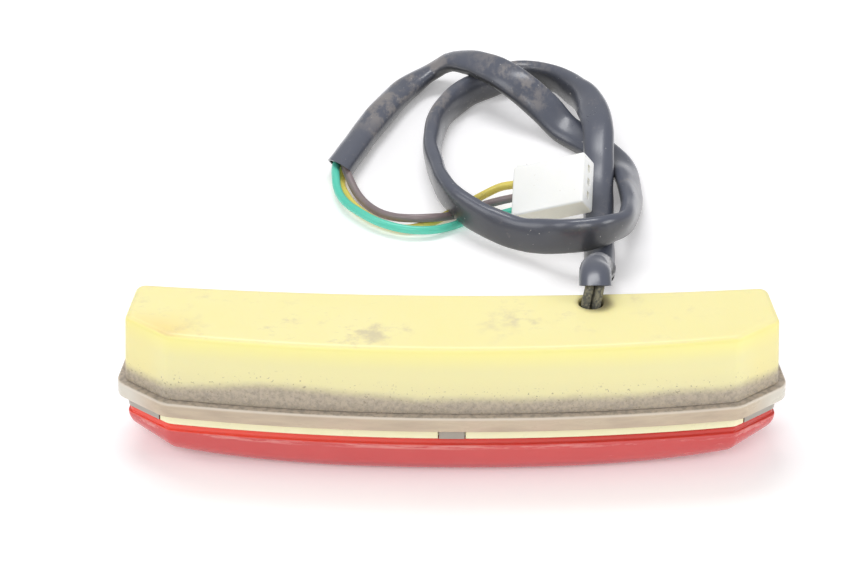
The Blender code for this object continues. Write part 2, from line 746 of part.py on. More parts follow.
def make_plug():
    half = Vector((PLUG_LENGTH, PLUG_WIDTH, PLUG_THICKNESS)) / 2
    housing = object_from_bmesh("plug_housing", box_bmesh(-half, half), "nylon")
    place_on_plug(housing)
    bevel_edges(housing, PLUG_EDGE)
    for lane in (-1, 0, 1):
        y = lane * CAVITY_PITCH
        room = CAVITY_SIZE / 2
        cavity = object_from_bmesh(
            f"cavity_{lane + 2}",
            box_bmesh((-half.x - MM, y - room, -room), (-half.x + CAVITY_DEPTH, y + room, room)),
            "nylon",
        )
        place_on_plug(cavity)
        modify_with(housing, cavity, "DIFFERENCE")
        mouth = object_from_bmesh(
            f"mouth_{lane + 2}",
            box_bmesh((0.0, y - 1.1 * MM, -0.6 * MM), (half.x + MM, y + 1.1 * MM, 0.6 * MM)),
            "nylon",
        )
        place_on_plug(mouth)
        modify_with(housing, mouth, "DIFFERENCE")
        make_terminal(lane + 2, y, -half.x + 3.0 * MM + GAP)
    slot = object_from_bmesh(
        "latch_slot",
        box_bmesh(
            (-half.x - MM, half.y - LATCH_SLOT_DEPTH, -LATCH_WIDTH / 2 - GAP),
            (-half.x + LATCH_LENGTH + 2 * GAP, half.y + MM, LATCH_WIDTH / 2 + GAP),
        ),
        "nylon",
    )
    place_on_plug(slot)
    modify_with(housing, slot, "DIFFERENCE")


def make_terminal(number, y, start_x):
    """A box-barrel contact, open at the mating end."""
    room = TERMINAL_SIZE / 2
    bm = box_bmesh((start_x, y - room, -room), (start_x + TERMINAL_LENGTH, y + room, room))
    end_face = max(bm.faces, key=lambda face: face.calc_center_median().x)
    bmesh.ops.inset_individual(bm, faces=[end_face], thickness=0.35 * MM)
    pushed = bmesh.ops.extrude_discrete_faces(bm, faces=[end_face])["faces"][0]
    bmesh.ops.translate(bm, verts=pushed.verts, vec=(-6.0 * MM, 0.0, 0.0))
    terminal = object_from_bmesh(f"terminal_{number}", bm, "tinned_brass")
    place_on_plug(terminal)


def make_latch():
    """Latch arm in the slot on the plug's side; its origin is on its hinge line."""
    arm_low = PLUG_WIDTH / 2 - LATCH_THICKNESS
    hinge = Vector((-PLUG_LENGTH / 2 + LATCH_LENGTH + GAP, arm_low, 0.0))
    half_width = LATCH_WIDTH / 2
    outline = (
        (0.0, 0.0), (0.0, LATCH_THICKNESS), (-LATCH_LENGTH + LATCH_PAD_LENGTH, LATCH_THICKNESS),
        (-LATCH_LENGTH + LATCH_PAD_LENGTH - 0.6 * MM, LATCH_THICKNESS + LATCH_PAD_HEIGHT),
        (-LATCH_LENGTH + 0.3 * MM, LATCH_THICKNESS + LATCH_PAD_HEIGHT),
        (-LATCH_LENGTH, LATCH_THICKNESS + LATCH_PAD_HEIGHT - 0.4 * MM), (-LATCH_LENGTH, 0.0),
    )
    bm = bmesh.new()
    low = [bm.verts.new((x, y, -half_width)) for x, y in outline]
    high = [bm.verts.new((x, y, half_width)) for x, y in outline]
    bm.faces.new(low)
    bm.faces.new(high)
    for index in range(len(outline)):
        after = (index + 1) % len(outline)
        bm.faces.new((low[index], low[after], high[after], high[index]))
    latch = object_from_bmesh("plug_latch", bm, "nylon")
    place_on_plug(latch, hinge)


def main():
    clear_scene()
    make_housing()
    make_lens_base()
    make_tray()
    make_red_lens()
    make_seal_ring()
    make_leds()
    make_board()
    make_screws()
    make_small_parts()
    make_cable_seal()
    make_leads()
    make_wires(make_sleeve())
    make_plug()
    make_latch()


main()
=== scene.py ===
"""Looks of the slim LED tail light: fine shells, a limp sleeved harness and its materials.

Everything is in metres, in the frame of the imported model. The lamp lies lens-down at Z = 0.
"""

import math

import bmesh
import bpy
from mathutils import Matrix, Vector, noise


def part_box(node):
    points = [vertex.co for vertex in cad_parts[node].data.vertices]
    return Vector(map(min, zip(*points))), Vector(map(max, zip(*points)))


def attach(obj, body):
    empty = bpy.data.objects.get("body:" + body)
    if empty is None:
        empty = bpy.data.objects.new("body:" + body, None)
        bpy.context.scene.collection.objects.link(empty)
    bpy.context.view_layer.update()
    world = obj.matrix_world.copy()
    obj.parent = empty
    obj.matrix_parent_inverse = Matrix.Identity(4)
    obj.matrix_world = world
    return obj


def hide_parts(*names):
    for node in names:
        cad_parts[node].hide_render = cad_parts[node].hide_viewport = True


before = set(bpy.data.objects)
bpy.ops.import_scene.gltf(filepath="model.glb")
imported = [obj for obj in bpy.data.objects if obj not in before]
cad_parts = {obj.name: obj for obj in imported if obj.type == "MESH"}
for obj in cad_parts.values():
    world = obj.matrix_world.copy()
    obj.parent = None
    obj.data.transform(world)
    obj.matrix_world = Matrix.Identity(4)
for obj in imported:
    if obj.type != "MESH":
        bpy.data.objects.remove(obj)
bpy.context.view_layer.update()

MM = 0.001
GAP = 0.3 * MM
LAMP = "lamp"
LATCH = "latch"

# ---------------------------------------------------------------- camera

CAMERA_PLACE = (-0.0055, -0.8514, 0.5367)
CAMERA_PITCH = math.radians(60)
CAMERA_ROLL = math.radians(0.3)
CAMERA_LENS = 169.5
CAMERA_SENSOR = 36.0


def make_camera():
    data = bpy.data.cameras.new("camera")
    data.lens = CAMERA_LENS
    data.sensor_width = CAMERA_SENSOR
    camera = bpy.data.objects.new("camera", data)
    camera.location = CAMERA_PLACE
    turn = Matrix.Rotation(CAMERA_PITCH, 3, "X") @ Matrix.Rotation(CAMERA_ROLL, 3, "Z")
    camera.rotation_euler = turn.to_euler()
    bpy.context.scene.collection.objects.link(camera)
    bpy.context.scene.camera = camera


make_camera()

# ---------------------------------------------------------------- helpers


def link(name, data, finish):
    made = bpy.data.objects.new(name, data)
    if finish is not None:
        made.data.materials.append(finish)
    bpy.context.scene.collection.objects.link(made)
    return made


def from_bmesh(name, bm, finish, sharp_degrees=40):
    bmesh.ops.recalc_face_normals(bm, faces=bm.faces)
    mesh = bpy.data.meshes.new(name)
    bm.to_mesh(mesh)
    bm.free()
    mesh.shade_smooth()
    mesh.set_sharp_from_angle(angle=math.radians(sharp_degrees))
    return link(name, mesh, finish)


def resample(points, count):
    travelled = [0.0]
    for first, second in zip(points, points[1:]):
        travelled.append(travelled[-1] + (second - first).length)
    result, index = [], 0
    for step in range(count):
        target = travelled[-1] * step / (count - 1)
        while index < len(points) - 2 and travelled[index + 1] < target:
            index += 1
        span = travelled[index + 1] - travelled[index]
        result.append(points[index].lerp(points[index + 1], (target - travelled[index]) / span))
    return result


def smooth_points(route, count):
    """Evenly spaced points on a centripetal Catmull-Rom curve through the route."""
    points = [route[0] * 2 - route[1], *route, route[-1] * 2 - route[-2]]
    dense = []
    for a, b, c, d in zip(points, points[1:], points[2:], points[3:]):
        knots = [0.0]
        for first, second in ((a, b), (b, c), (c, d)):
            knots.append(knots[-1] + (second - first).length ** 0.5)
        for step in range(12):
            t = knots[1] + (knots[2] - knots[1]) * step / 12
            ab = a.lerp(b, (t - knots[0]) / (knots[1] - knots[0]))
            bc = b.lerp(c, (t - knots[1]) / (knots[2] - knots[1]))
            cd = c.lerp(d, (t - knots[2]) / (knots[3] - knots[2]))
            abc = ab.lerp(bc, (t - knots[0]) / (knots[2] - knots[0]))
            bcd = bc.lerp(cd, (t - knots[1]) / (knots[3] - knots[1]))
            dense.append(abc.lerp(bcd, (t - knots[1]) / (knots[2] - knots[1])))
    dense.append(route[-1])
    return resample(dense, count)


# ---------------------------------------------------------------- material building


class Paint:
    """A Principled material with a small set of node shortcuts, in object space."""

    def __init__(self, name, roughness=0.4, metallic=0.0):
        self.material = bpy.data.materials.new(name)
        self.material.use_nodes = True
        self.tree = self.material.node_tree
        self.shader = self.tree.nodes["Principled BSDF"]
        self.shader.inputs["Roughness"].default_value = roughness
        self.shader.inputs["Metallic"].default_value = metallic
        self.place = self.tree.nodes.new("ShaderNodeTexCoord").outputs["Object"]
        split = self.tree.nodes.new("ShaderNodeSeparateXYZ")
        self.tree.links.new(self.place, split.inputs[0])
        self.x, self.y, self.z = split.outputs
        geometry = self.tree.nodes.new("ShaderNodeNewGeometry")
        facing = self.tree.nodes.new("ShaderNodeSeparateXYZ")
        self.tree.links.new(geometry.outputs["Normal"], facing.inputs[0])
        self.up = facing.outputs[2]

    def feed(self, socket, value):
        if isinstance(value, bpy.types.NodeSocket):
            self.tree.links.new(value, socket)
        elif socket.type == "RGBA" and len(value) == 3:
            socket.default_value = (*value, 1.0)
        else:
            socket.default_value = value

    def set(self, **values):
        for key, value in values.items():
            self.feed(self.shader.inputs[key.replace("_", " ")], value)

    def noise(self, scale, detail=3.0, roughness=0.55, stretch=(1, 1, 1)):
        mapping = self.tree.nodes.new("ShaderNodeMapping")
        mapping.inputs["Scale"].default_value = stretch
        self.tree.links.new(self.place, mapping.inputs[0])
        made = self.tree.nodes.new("ShaderNodeTexNoise")
        self.tree.links.new(mapping.outputs[0], made.inputs["Vector"])
        made.inputs["Scale"].default_value = scale
        made.inputs["Detail"].default_value = detail
        made.inputs["Roughness"].default_value = roughness
        return made.outputs["Fac"]

    def math(self, operation, a, b=0.0, c=0.0):
        made = self.tree.nodes.new("ShaderNodeMath")
        made.operation = operation
        for socket, value in zip(made.inputs, (a, b, c)):
            self.feed(socket, value)
        return made.outputs[0]

    def band(self, value, low, high, smooth=True):
        """0 below low, 1 above high; low may be above high."""
        made = self.tree.nodes.new("ShaderNodeMapRange")
        if smooth:
            made.interpolation_type = "SMOOTHSTEP"
        flip = low > high
        self.feed(made.inputs["Value"], value)
        made.inputs["From Min"].default_value = min(low, high)
        made.inputs["From Max"].default_value = max(low, high)
        made.inputs["To Min"].default_value = 1.0 if flip else 0.0
        made.inputs["To Max"].default_value = 0.0 if flip else 1.0
        return made.outputs[0]

    def mix(self, share, a, b):
        made = self.tree.nodes.new("ShaderNodeMix")
        made.data_type = "RGBA"
        self.feed(made.inputs[0], share)
        self.feed(made.inputs[6], a)
        self.feed(made.inputs[7], b)
        return made.outputs[2]

    def bump(self, height, distance, strength=1.0, after=None):
        made = self.tree.nodes.new("ShaderNodeBump")
        made.inputs["Distance"].default_value = distance
        made.inputs["Strength"].default_value = strength
        self.feed(made.inputs["Height"], height)
        if after is not None:
            self.tree.links.new(after, made.inputs["Normal"])
        return made.outputs[0]

    def bell(self, value, centre, half_width):
        """1 at centre, falling smoothly to 0 at half_width away."""
        away = self.math("ABSOLUTE", self.math("SUBTRACT", value, centre))
        return self.band(away, half_width, 0.0)


def rgb(red, green, blue):
    """A display colour, 0 to 255, as linear values."""

    def linear(value):
        value /= 255
        return value / 12.92 if value <= 0.04045 else ((value + 0.055) / 1.055) ** 2.4

    return tuple(linear(value) for value in (red, green, blue))


# ---------------------------------------------------------------- finishes


def cream_housing_finish():
    """Aged translucent cream moulding with road dirt settled above the flange."""
    p = Paint("cream_housing", roughness=0.42)
    grain = p.noise(900, 2.0)
    broad = p.noise(38, 4.0, 0.6)
    patches = p.noise(95, 5.0, 0.65, (1.0, 1.0, 1.6))
    drift = p.noise(24, 2.0, 0.5, (1.0, 1.0, 0.2))

    # painted shade: the wall is coloured darker and greyer towards the flange and brightest just under
    # its top edge, as the light falls on it
    height = p.band(p.z, 18.8 * MM, 36.4 * MM, smooth=False)
    wall = p.mix(p.band(height, 0.0, 0.62), rgb(232, 224, 178), rgb(243, 235, 176))
    wall = p.mix(p.band(height, 0.62, 1.0), wall, rgb(254, 244, 160))
    # painted light: the chamfered end faces of the wall are tinted deeper yellow, the change in shading
    # where the wall turns at its creases
    ends = p.band(p.math("ABSOLUTE", p.x), 68.5 * MM, 76.0 * MM)
    wall = p.mix(p.math("MULTIPLY", ends, 0.4), wall, rgb(248, 232, 150))

    back = p.mix(broad, rgb(247, 236, 164), rgb(250, 240, 184))
    smudge = p.math("MULTIPLY", p.band(patches, 0.50, 0.70), p.band(broad, 0.40, 0.60))
    scratches = p.noise(420, 5.0, 0.7, (0.5, 1.0, 1.0))
    scuffed = p.math("MULTIPLY", p.band(scratches, 0.55, 0.7), p.band(broad, 0.46, 0.6))
    smudge = p.math("MAXIMUM", smudge, p.math("MULTIPLY", scuffed, 0.6))
    back = p.mix(p.math("MULTIPLY", smudge, 0.6), back, rgb(192, 180, 162))
    # painted glow: the back's left front corner is tinted deeper yellow, light passing through the
    # translucent moulding
    corner = p.math("MULTIPLY", p.band(p.x, -58 * MM, -72 * MM), p.band(p.y, 4 * MM, -8 * MM))
    back = p.mix(p.math("MULTIPLY", corner, 0.55), back, rgb(246, 214, 130))
    colour = p.mix(p.band(p.up, 0.55, 0.85), wall, back)

    # dirt: a ragged band over the flange, deepest left of the middle
    deep = p.bell(p.x, -40 * MM, 36 * MM)
    edge = p.math("MULTIPLY_ADD", deep, 2.6 * MM, 20.6 * MM)
    edge = p.math("MULTIPLY_ADD", drift, 2.6 * MM, edge)
    edge = p.math("MULTIPLY_ADD", patches, 1.6 * MM, edge)
    above = p.math("SUBTRACT", edge, p.z)
    dirt = p.band(above, -1.6 * MM, 2.0 * MM)
    speck = p.math("MULTIPLY", p.band(p.noise(1500, 2.0), 0.64, 0.70), p.band(above, -5 * MM, -0.5 * MM))
    dirt_tone = p.mix(p.band(p.noise(900, 4.0, 0.7), 0.36, 0.68), rgb(186, 172, 158), rgb(152, 140, 134))
    colour = p.mix(p.math("MULTIPLY", dirt, 0.86), colour, dirt_tone)
    colour = p.mix(p.math("MULTIPLY", speck, 0.7), colour, rgb(150, 138, 118))

    # grime halo round the cable hole
    across = p.math("SUBTRACT", p.x, HOLE_X + 1.0 * MM)
    along = p.math("SUBTRACT", p.y, HOLE_Y)
    reach = p.math("SQRT", p.math("ADD", p.math("POWER", across, 2.0), p.math("POWER", along, 2.0)))
    reach = p.math("MULTIPLY_ADD", patches, -2.2 * MM, reach)
    halo = p.math("MULTIPLY", p.band(reach, 4.6 * MM, 1.4 * MM), 0.85)
    colour = p.mix(halo, colour, rgb(132, 122, 96))
    p.set(Base_Color=colour)

    rough = p.math("MULTIPLY_ADD", dirt, 0.30, 0.30)
    rough = p.math("MULTIPLY_ADD", patches, 0.16, rough)
    p.set(Roughness=rough)
    p.set(Subsurface_Weight=0.18, Subsurface_Radius=(1.0, 0.8, 0.35), Subsurface_Scale=2.0 * MM)
    fine = p.bump(grain, 0.05 * MM, 0.25)
    p.set(Normal=p.bump(p.math("MULTIPLY", dirt, p.noise(1300, 3.0)), 0.16 * MM, 0.6, after=fine))
    return p.material


def clear_base_finish():
    """Clear moulding gone grey-beige with dirt, paler and glassier at its ends."""
    p = Paint("clear_base", roughness=0.3)
    streak = p.noise(260, 4.0, 0.6, (0.25, 1.0, 1.6))
    cloud = p.noise(70, 3.0)
    face = p.mix(p.band(streak, 0.35, 0.7), rgb(204, 187, 162), rgb(188, 170, 148))
    face = p.mix(p.math("MULTIPLY", p.band(cloud, 0.45, 0.7), 0.4), face, rgb(205, 180, 160))
    ends = p.band(p.math("ABSOLUTE", p.x), 72 * MM, 80 * MM)
    face = p.mix(p.math("MULTIPLY", ends, 0.8), face, rgb(222, 219, 207))
    top = p.mix(p.band(p.noise(700, 3.0), 0.4, 0.65), rgb(190, 177, 162), rgb(160, 150, 138))
    colour = p.mix(p.band(p.up, 0.4, 0.9), face, top)
    # painted highlight: a paler line along the rounded top edge of the flange, where it turns up to the
    # light
    rim = p.math("MULTIPLY", p.bell(p.z, FLANGE_TOP_Z - 0.3 * MM, 0.6 * MM), p.band(p.up, 0.98, 0.9))
    colour = p.mix(p.math("MULTIPLY", rim, 0.7), colour, rgb(226, 216, 202))
    # painted shade: everything below the flange is darker, the shadow gap under its overhang
    under = p.band(p.z, FLANGE_BOTTOM_Z + 0.2 * MM, FLANGE_BOTTOM_Z - 0.3 * MM)
    colour = p.mix(under, colour, rgb(170, 165, 154))
    p.set(Base_Color=colour, Roughness=p.math("MULTIPLY_ADD", streak, 0.3, 0.16))
    p.set(Coat_Weight=0.25, Coat_Roughness=0.2, IOR=1.49)
    p.set(Subsurface_Weight=0.25, Subsurface_Radius=(1.0, 0.9, 0.8), Subsurface_Scale=1.5 * MM)
    p.set(Normal=p.bump(p.noise(800, 3.0), 0.05 * MM, 0.4))
    return p.material


def red_lens_finish():
    """Red moulded lens: vivid in the groove, a painted highlight with scuffs along the edge, darker
    underneath as painted shade.
    """
    p = Paint("red_lens", roughness=0.25)
    cloud = p.noise(60, 4.0)
    scratch = p.noise(420, 5.0, 0.7, (0.12, 1.0, 1.4))
    body = p.mix(cloud, rgb(206, 74, 75), rgb(218, 88, 87))
    groove = p.band(p.z, LENS_GROOVE_Z - 0.45 * MM, LENS_GROOVE_Z)
    vivid = p.mix(p.band(p.x, 40 * MM, -70 * MM), rgb(208, 60, 50), rgb(250, 84, 66))
    colour = p.mix(groove, body, vivid)
    # painted highlight: a pale pink line along the dome's shoulder below the groove, broken up by
    # scratch streaks, with more worn streaks right of the middle; the same mask makes the surface
    # rougher there, for the scuffs
    ridge = p.bell(p.z, LENS_GROOVE_Z - 0.8 * MM, 0.9 * MM)
    highlight_and_scuff = p.math("MULTIPLY", ridge, p.band(scratch, 0.44, 0.66))
    worn = p.math("MULTIPLY", p.band(scratch, 0.60, 0.75), p.band(p.x, 20 * MM, 60 * MM))
    worn = p.math("MULTIPLY", worn, p.band(p.z, LENS_GROOVE_Z, LENS_GROOVE_Z - 1.0 * MM))
    highlight_and_scuff = p.math("MAXIMUM", highlight_and_scuff, p.math("MULTIPLY", worn, 0.7))
    colour = p.mix(p.math("MULTIPLY", highlight_and_scuff, 0.75), colour, rgb(238, 168, 162))
    # painted shade: the lens is darker near its bottom, where it faces the table
    low = p.band(p.z, 4.2 * MM, 2.6 * MM)
    colour = p.mix(p.math("MULTIPLY", low, 0.6), colour, rgb(184, 62, 72))
    p.set(Base_Color=colour)
    p.set(Roughness=p.math("MULTIPLY_ADD", highlight_and_scuff, 0.35, 0.22))
    p.set(Subsurface_Weight=0.2, Subsurface_Radius=(1.0, 0.12, 0.08), Subsurface_Scale=1.5 * MM)
    p.set(IOR=1.49, Coat_Weight=0.3, Coat_Roughness=0.15)
    p.set(Normal=p.bump(scratch, 0.04 * MM, 0.35))
    return p.material


def tray_finish():
    p = Paint("tray", roughness=0.3)
    p.set(Base_Color=p.mix(p.noise(160, 3.0), rgb(250, 246, 196), rgb(255, 252, 214)))
    p.set(Roughness=p.math("MULTIPLY_ADD", p.noise(300), 0.2, 0.2))
    p.set(Coat_Weight=0.5, Coat_Roughness=0.1)
    return p.material


def sleeve_finish():
    """Black PVC sleeving: painted lighter bluish grey satin where it faces up, darker grey elsewhere,
    with beige dust, a few pale specks and a painted olive reflection underneath.
    """
    p = Paint("sleeve", roughness=0.45)
    cloud = p.noise(45, 3.0)
    rub = p.noise(210, 6.0, 0.72, (1.0, 0.5, 1.0))
    # painted light and shade: faces turned up get a lighter bluish grey, faces turned to the front and
    # down a darker grey
    dark = p.mix(cloud, rgb(48, 49, 53), rgb(58, 59, 63))
    colour = p.mix(p.band(p.up, -0.1, 0.85), dark, p.mix(cloud, rgb(78, 82, 95), rgb(92, 96, 109)))
    dusty = p.math("MULTIPLY", p.band(rub, 0.56, 0.72), p.band(cloud, 0.44, 0.6))
    tail = p.math("MULTIPLY", p.band(p.y, 150 * MM, 166 * MM), p.band(p.x, 6 * MM, -4 * MM))
    crossing = p.math("MULTIPLY", p.band(p.z, 6.5 * MM, 9.5 * MM), p.bell(p.x, 18 * MM, 18 * MM))
    worn = p.math("MAXIMUM", tail, p.math("MULTIPLY", crossing, p.band(p.y, 150 * MM, 160 * MM)))
    worn = p.math("MULTIPLY", p.math("MULTIPLY", worn, p.band(rub, 0.44, 0.60)), p.band(p.up, 0.2, 0.7))
    dusty = p.math("MAXIMUM", p.math("MULTIPLY", dusty, 0.45), p.math("MULTIPLY", worn, 0.55))
    colour = p.mix(dusty, colour, rgb(156, 148, 142))
    speck = p.band(p.noise(1150, 1.0), 0.755, 0.785)
    colour = p.mix(p.math("MULTIPLY", speck, 0.85), colour, rgb(188, 186, 182))
    # painted reflection: faces turned down take an olive tint, the table and lamp reflected in the
    # sleeve's underside
    low = p.math("MULTIPLY", p.band(p.up, 0.1, -0.6), 0.35)
    colour = p.mix(low, colour, rgb(78, 78, 66))
    p.set(Base_Color=colour)
    p.set(Roughness=p.math("MULTIPLY_ADD", rub, 0.22, p.math("MULTIPLY_ADD", dusty, 0.25, 0.20)))
    p.set(Specular_IOR_Level=0.6, Coat_Weight=0.35, Coat_Roughness=0.18)
    soft = p.bump(p.noise(70, 2.0), 0.5 * MM, 0.25)
    p.set(Normal=p.bump(rub, 0.08 * MM, 0.4, after=soft))
    return p.material


def wire_finish(name, dark, light, dust):
    p = Paint(name, roughness=0.35)
    colour = p.mix(p.noise(90, 3.0), dark, light)
    grime = p.math("MULTIPLY", p.band(p.noise(520, 4.0), 0.5, 0.72), dust)
    p.set(Base_Color=p.mix(grime, colour, rgb(140, 130, 118)))
    p.set(Roughness=p.math("MULTIPLY_ADD", grime, 0.4, 0.3))
    p.set(Normal=p.bump(p.noise(700, 2.0), 0.03 * MM, 0.4))
    return p.material


def lead_finish(name, tone):
    """A lead's insulation, grey with dust where it shows above the cable hole."""
    p = Paint(name, roughness=0.5)
    dusty = p.band(p.z, 33 * MM, 35.5 * MM)
    grey = p.mix(p.band(p.noise(1400, 4.0), 0.4, 0.62), rgb(86, 86, 82), rgb(134, 130, 112))
    p.set(Base_Color=p.mix(dusty, tone, grey))
    p.set(Roughness=p.math("MULTIPLY_ADD", p.noise(500), 0.3, 0.4))
    return p.material


def nylon_finish():
    """Milky natural nylon with a faint painted glow, and a painted shade that makes its undersides
    yellower.
    """
    p = Paint("nylon", roughness=0.32)
    cloud = p.noise(120, 3.0)
    colour = p.mix(cloud, rgb(246, 249, 247), rgb(252, 253, 251))
    shaded = p.band(p.up, 0.35, -0.4)
    colour = p.mix(p.math("MULTIPLY", shaded, 0.8), colour, rgb(252, 246, 224))
    fleck = p.band(p.noise(900, 2.0), 0.70, 0.74)
    colour = p.mix(p.math("MULTIPLY", fleck, 0.35), colour, rgb(190, 180, 160))
    p.set(Base_Color=colour, Roughness=p.math("MULTIPLY_ADD", cloud, 0.2, 0.22))
    p.set(Subsurface_Weight=0.25, Subsurface_Radius=(1.0, 0.97, 0.85), Subsurface_Scale=1.5 * MM)
    # painted glow: a faint emission that stands in for light through the milky nylon
    p.set(Emission_Color=(1.0, 0.97, 0.88), Emission_Strength=0.04)
    p.set(Coat_Weight=0.3, Coat_Roughness=0.12)
    p.set(Normal=p.bump(p.noise(650, 2.0), 0.05 * MM, 0.3))
    return p.material


def plain_finish(name, dark, light, roughness, metallic=0.0, scale=300, coat=0.0):
    """Inner pieces: two close tones, a little uneven gloss and grain."""
    p = Paint(name, roughness, metallic)
    p.set(Base_Color=p.mix(p.noise(scale, 3.0), dark, light))
    p.set(Roughness=p.math("MULTIPLY_ADD", p.noise(scale * 2), 0.2, roughness - 0.1))
    p.set(Normal=p.bump(p.noise(scale * 3), 0.03 * MM, 0.4))
    if coat:
        p.set(Coat_Weight=coat)
    return p.material


# ---------------------------------------------------------------- plan outline of the lamp

HALF_LENGTH = 80.0 * MM
FRONT_Y = -13.0 * MM
FRONT_RADIUS = 392.0 * MM
REAR_Y = 14.0 * MM
REAR_RADIUS = 676.0 * MM
CHAMFER_X = 69.5 * MM
CHAMFER_END_Y = 2.3 * MM
END_TAPER = math.radians(7.6)
CREASE_RADIUS = 4.0 * MM
END_CORNER_RADIUS = 2.5 * MM
REAR_CORNER_RADIUS = 2.5 * MM
CORNER_STEPS = 7
ARC_STEPS = 30

LENS_RIM_Z = 11.0 * MM
BASE_Z = LENS_RIM_Z + GAP
FLANGE_BOTTOM_Z = 14.7 * MM
FLANGE_TOP_Z = 18.7 * MM
RIB_TOP_Z = 21.4 * MM
CEILING_Z = 34.5 * MM
BACK_Z = 36.7 * MM

WALL_DRAFT = 0.5 * MM
WALL_THICKNESS = 1.8 * MM
FLANGE_OVERHANG = 2.4 * MM
EDGE_ROUND = 1.5 * MM
FOOT_GAP = 0.03 * MM
FOOT_CHAMFER = 0.15 * MM
HOLE_CHAMFER = 0.35 * MM
FLANGE_EDGE = 0.4 * MM
FLANGE_EDGE_STEPS = 3
SKIRT_INSET = 0.2 * MM
SKIRT_THICKNESS = 1.2 * MM
RIB_INSET = WALL_THICKNESS - WALL_DRAFT + GAP
RIB_THICKNESS = 1.1 * MM
BOSS_RADIUS = 2.8 * MM
BOSS_BORE = 1.2 * MM
BOSS_LOW_Z = 24.8 * MM
BOSS_CAP = 2.0 * MM
WINDOW_START_X = 3.1 * MM
WINDOW_END_X = 71.8 * MM

LENS_WALL = 1.8 * MM
LENS_GROOVE = 0.6 * MM
LENS_GROOVE_DEPTH = 1.3 * MM
LENS_GROOVE_Z = LENS_RIM_Z - LENS_GROOVE_DEPTH
LENS_ROUND = 6.3 * MM
LENS_SECTION_POWER = 2.1
LENS_LENGTH_POWER = 3.0
LENS_HALF_LENGTH = 82.5 * MM
LENS_FLAT_SHARE = 0.985
LENS_RINGS = 18


def on_circle(centre_y, radius, point, direction):
    """The lower of the two places where a line meets a circle about (0, centre_y)."""
    offset = point - Vector((0.0, centre_y))
    half_b = offset.dot(direction)
    root = math.sqrt(half_b**2 - offset.length_squared + radius**2)
    hits = [point + direction * (-half_b + side * root) for side in (-1, 1)]
    return min(hits, key=lambda hit: hit.y)


def fillet(before, corner, after, radius):
    to_before = (before - corner).normalized()
    to_after = (after - corner).normalized()
    half = math.acos(max(-1.0, min(1.0, to_before.dot(to_after)))) / 2
    centre = corner + (to_before + to_after).normalized() * radius / math.sin(half)
    start = corner + to_before * radius / math.tan(half) - centre
    end = corner + to_after * radius / math.tan(half) - centre
    turn = start.angle_signed(end)
    steps = [index / (CORNER_STEPS - 1) for index in range(CORNER_STEPS)]
    return [centre + Matrix.Rotation(-turn * step, 2) @ start for step in steps]


def arc(radius, centre_y, end_x, steps):
    places = [end_x * (index + 1) / (steps + 1) for index in range(steps)]
    return [Vector((x, centre_y - math.sqrt(radius**2 - x**2))) for x in places]


def raw_outline(inset):
    """The closed outline, offset inward, before it is centred: front left to right, rear back."""
    front_centre = FRONT_Y + FRONT_RADIUS
    front_radius = FRONT_RADIUS - inset
    rear_centre = REAR_Y + REAR_RADIUS
    rear_radius = REAR_RADIUS + inset
    crease = Vector((CHAMFER_X, front_centre - math.sqrt(FRONT_RADIUS**2 - CHAMFER_X**2)))
    end_corner = Vector((HALF_LENGTH, CHAMFER_END_Y))
    chamfer_way = (end_corner - crease).normalized()
    end_way = Vector((-math.sin(END_TAPER), math.cos(END_TAPER)))
    inward = Matrix.Rotation(math.radians(90), 2)
    chamfer_point = crease + inward @ chamfer_way * inset
    end_point = end_corner + inward @ end_way * inset
    crease = on_circle(front_centre, front_radius, chamfer_point, chamfer_way)
    rear_corner = on_circle(rear_centre, rear_radius, end_point, end_way)
    reach = (end_point - chamfer_point).cross(end_way) / chamfer_way.cross(end_way)
    end_corner = chamfer_point + chamfer_way * reach

    least = 0.4 * MM
    front_side = arc(front_radius, front_centre, crease.x, ARC_STEPS)
    rear_side = arc(rear_radius, rear_centre, rear_corner.x, ARC_STEPS + CORNER_STEPS)
    front = front_side + fillet(
        front_side[-1], crease, end_corner, max(CREASE_RADIUS - inset, least)
    )
    front += fillet(crease, end_corner, rear_corner, max(END_CORNER_RADIUS - inset, least))
    corner = fillet(end_corner, rear_corner, rear_side[-1], max(REAR_CORNER_RADIUS - inset, least))
    rear = rear_side + corner[::-1]
    front_row = [Vector((-p.x, p.y)) for p in reversed(front)] + [Vector((0, FRONT_Y + inset))] + front
    rear_row = [Vector((-p.x, p.y)) for p in reversed(rear)] + [Vector((0, REAR_Y - inset))] + rear
    return front_row + rear_row[::-1]


def middle_of_depth():
    flange = [point.y for point in raw_outline(-FLANGE_OVERHANG)]
    return (min(flange) + max(flange)) / 2


Y_MIDDLE = middle_of_depth()
HOLE_X = 34.0 * MM
HOLE_FROM_REAR = 5.0 * MM
HOLE_RADIUS = 2.95 * MM
HOLE_Y = REAR_Y - Y_MIDDLE - HOLE_FROM_REAR + HOLE_X**2 / (2 * REAR_RADIUS)


# ---------------------------------------------------------------- shells of the lamp


def ring(inset, z):
    return [Vector((point.x, point.y - Y_MIDDLE, z)) for point in raw_outline(inset)]


def loft_bmesh(rings, closed=False):
    """Skin a stack of outline rings; the ends are capped by rungs from front to rear."""
    bm = bmesh.new()
    rows = [[bm.verts.new(point) for point in points] for points in rings]
    count = len(rows[0])
    pairs = list(zip(rows, rows[1:]))
    if closed:
        pairs.append((rows[-1], rows[0]))
    for low, high in pairs:
        for index in range(count):
            after = (index + 1) % count
            bm.faces.new((low[index], low[after], high[after], high[index]))
    if not closed:
        for row in (rows[0], rows[-1]):
            for index in range(count // 2 - 1):
                mate = count - 1 - index
                bm.faces.new((row[index], row[index + 1], row[mate - 1], row[mate]))
    return bm


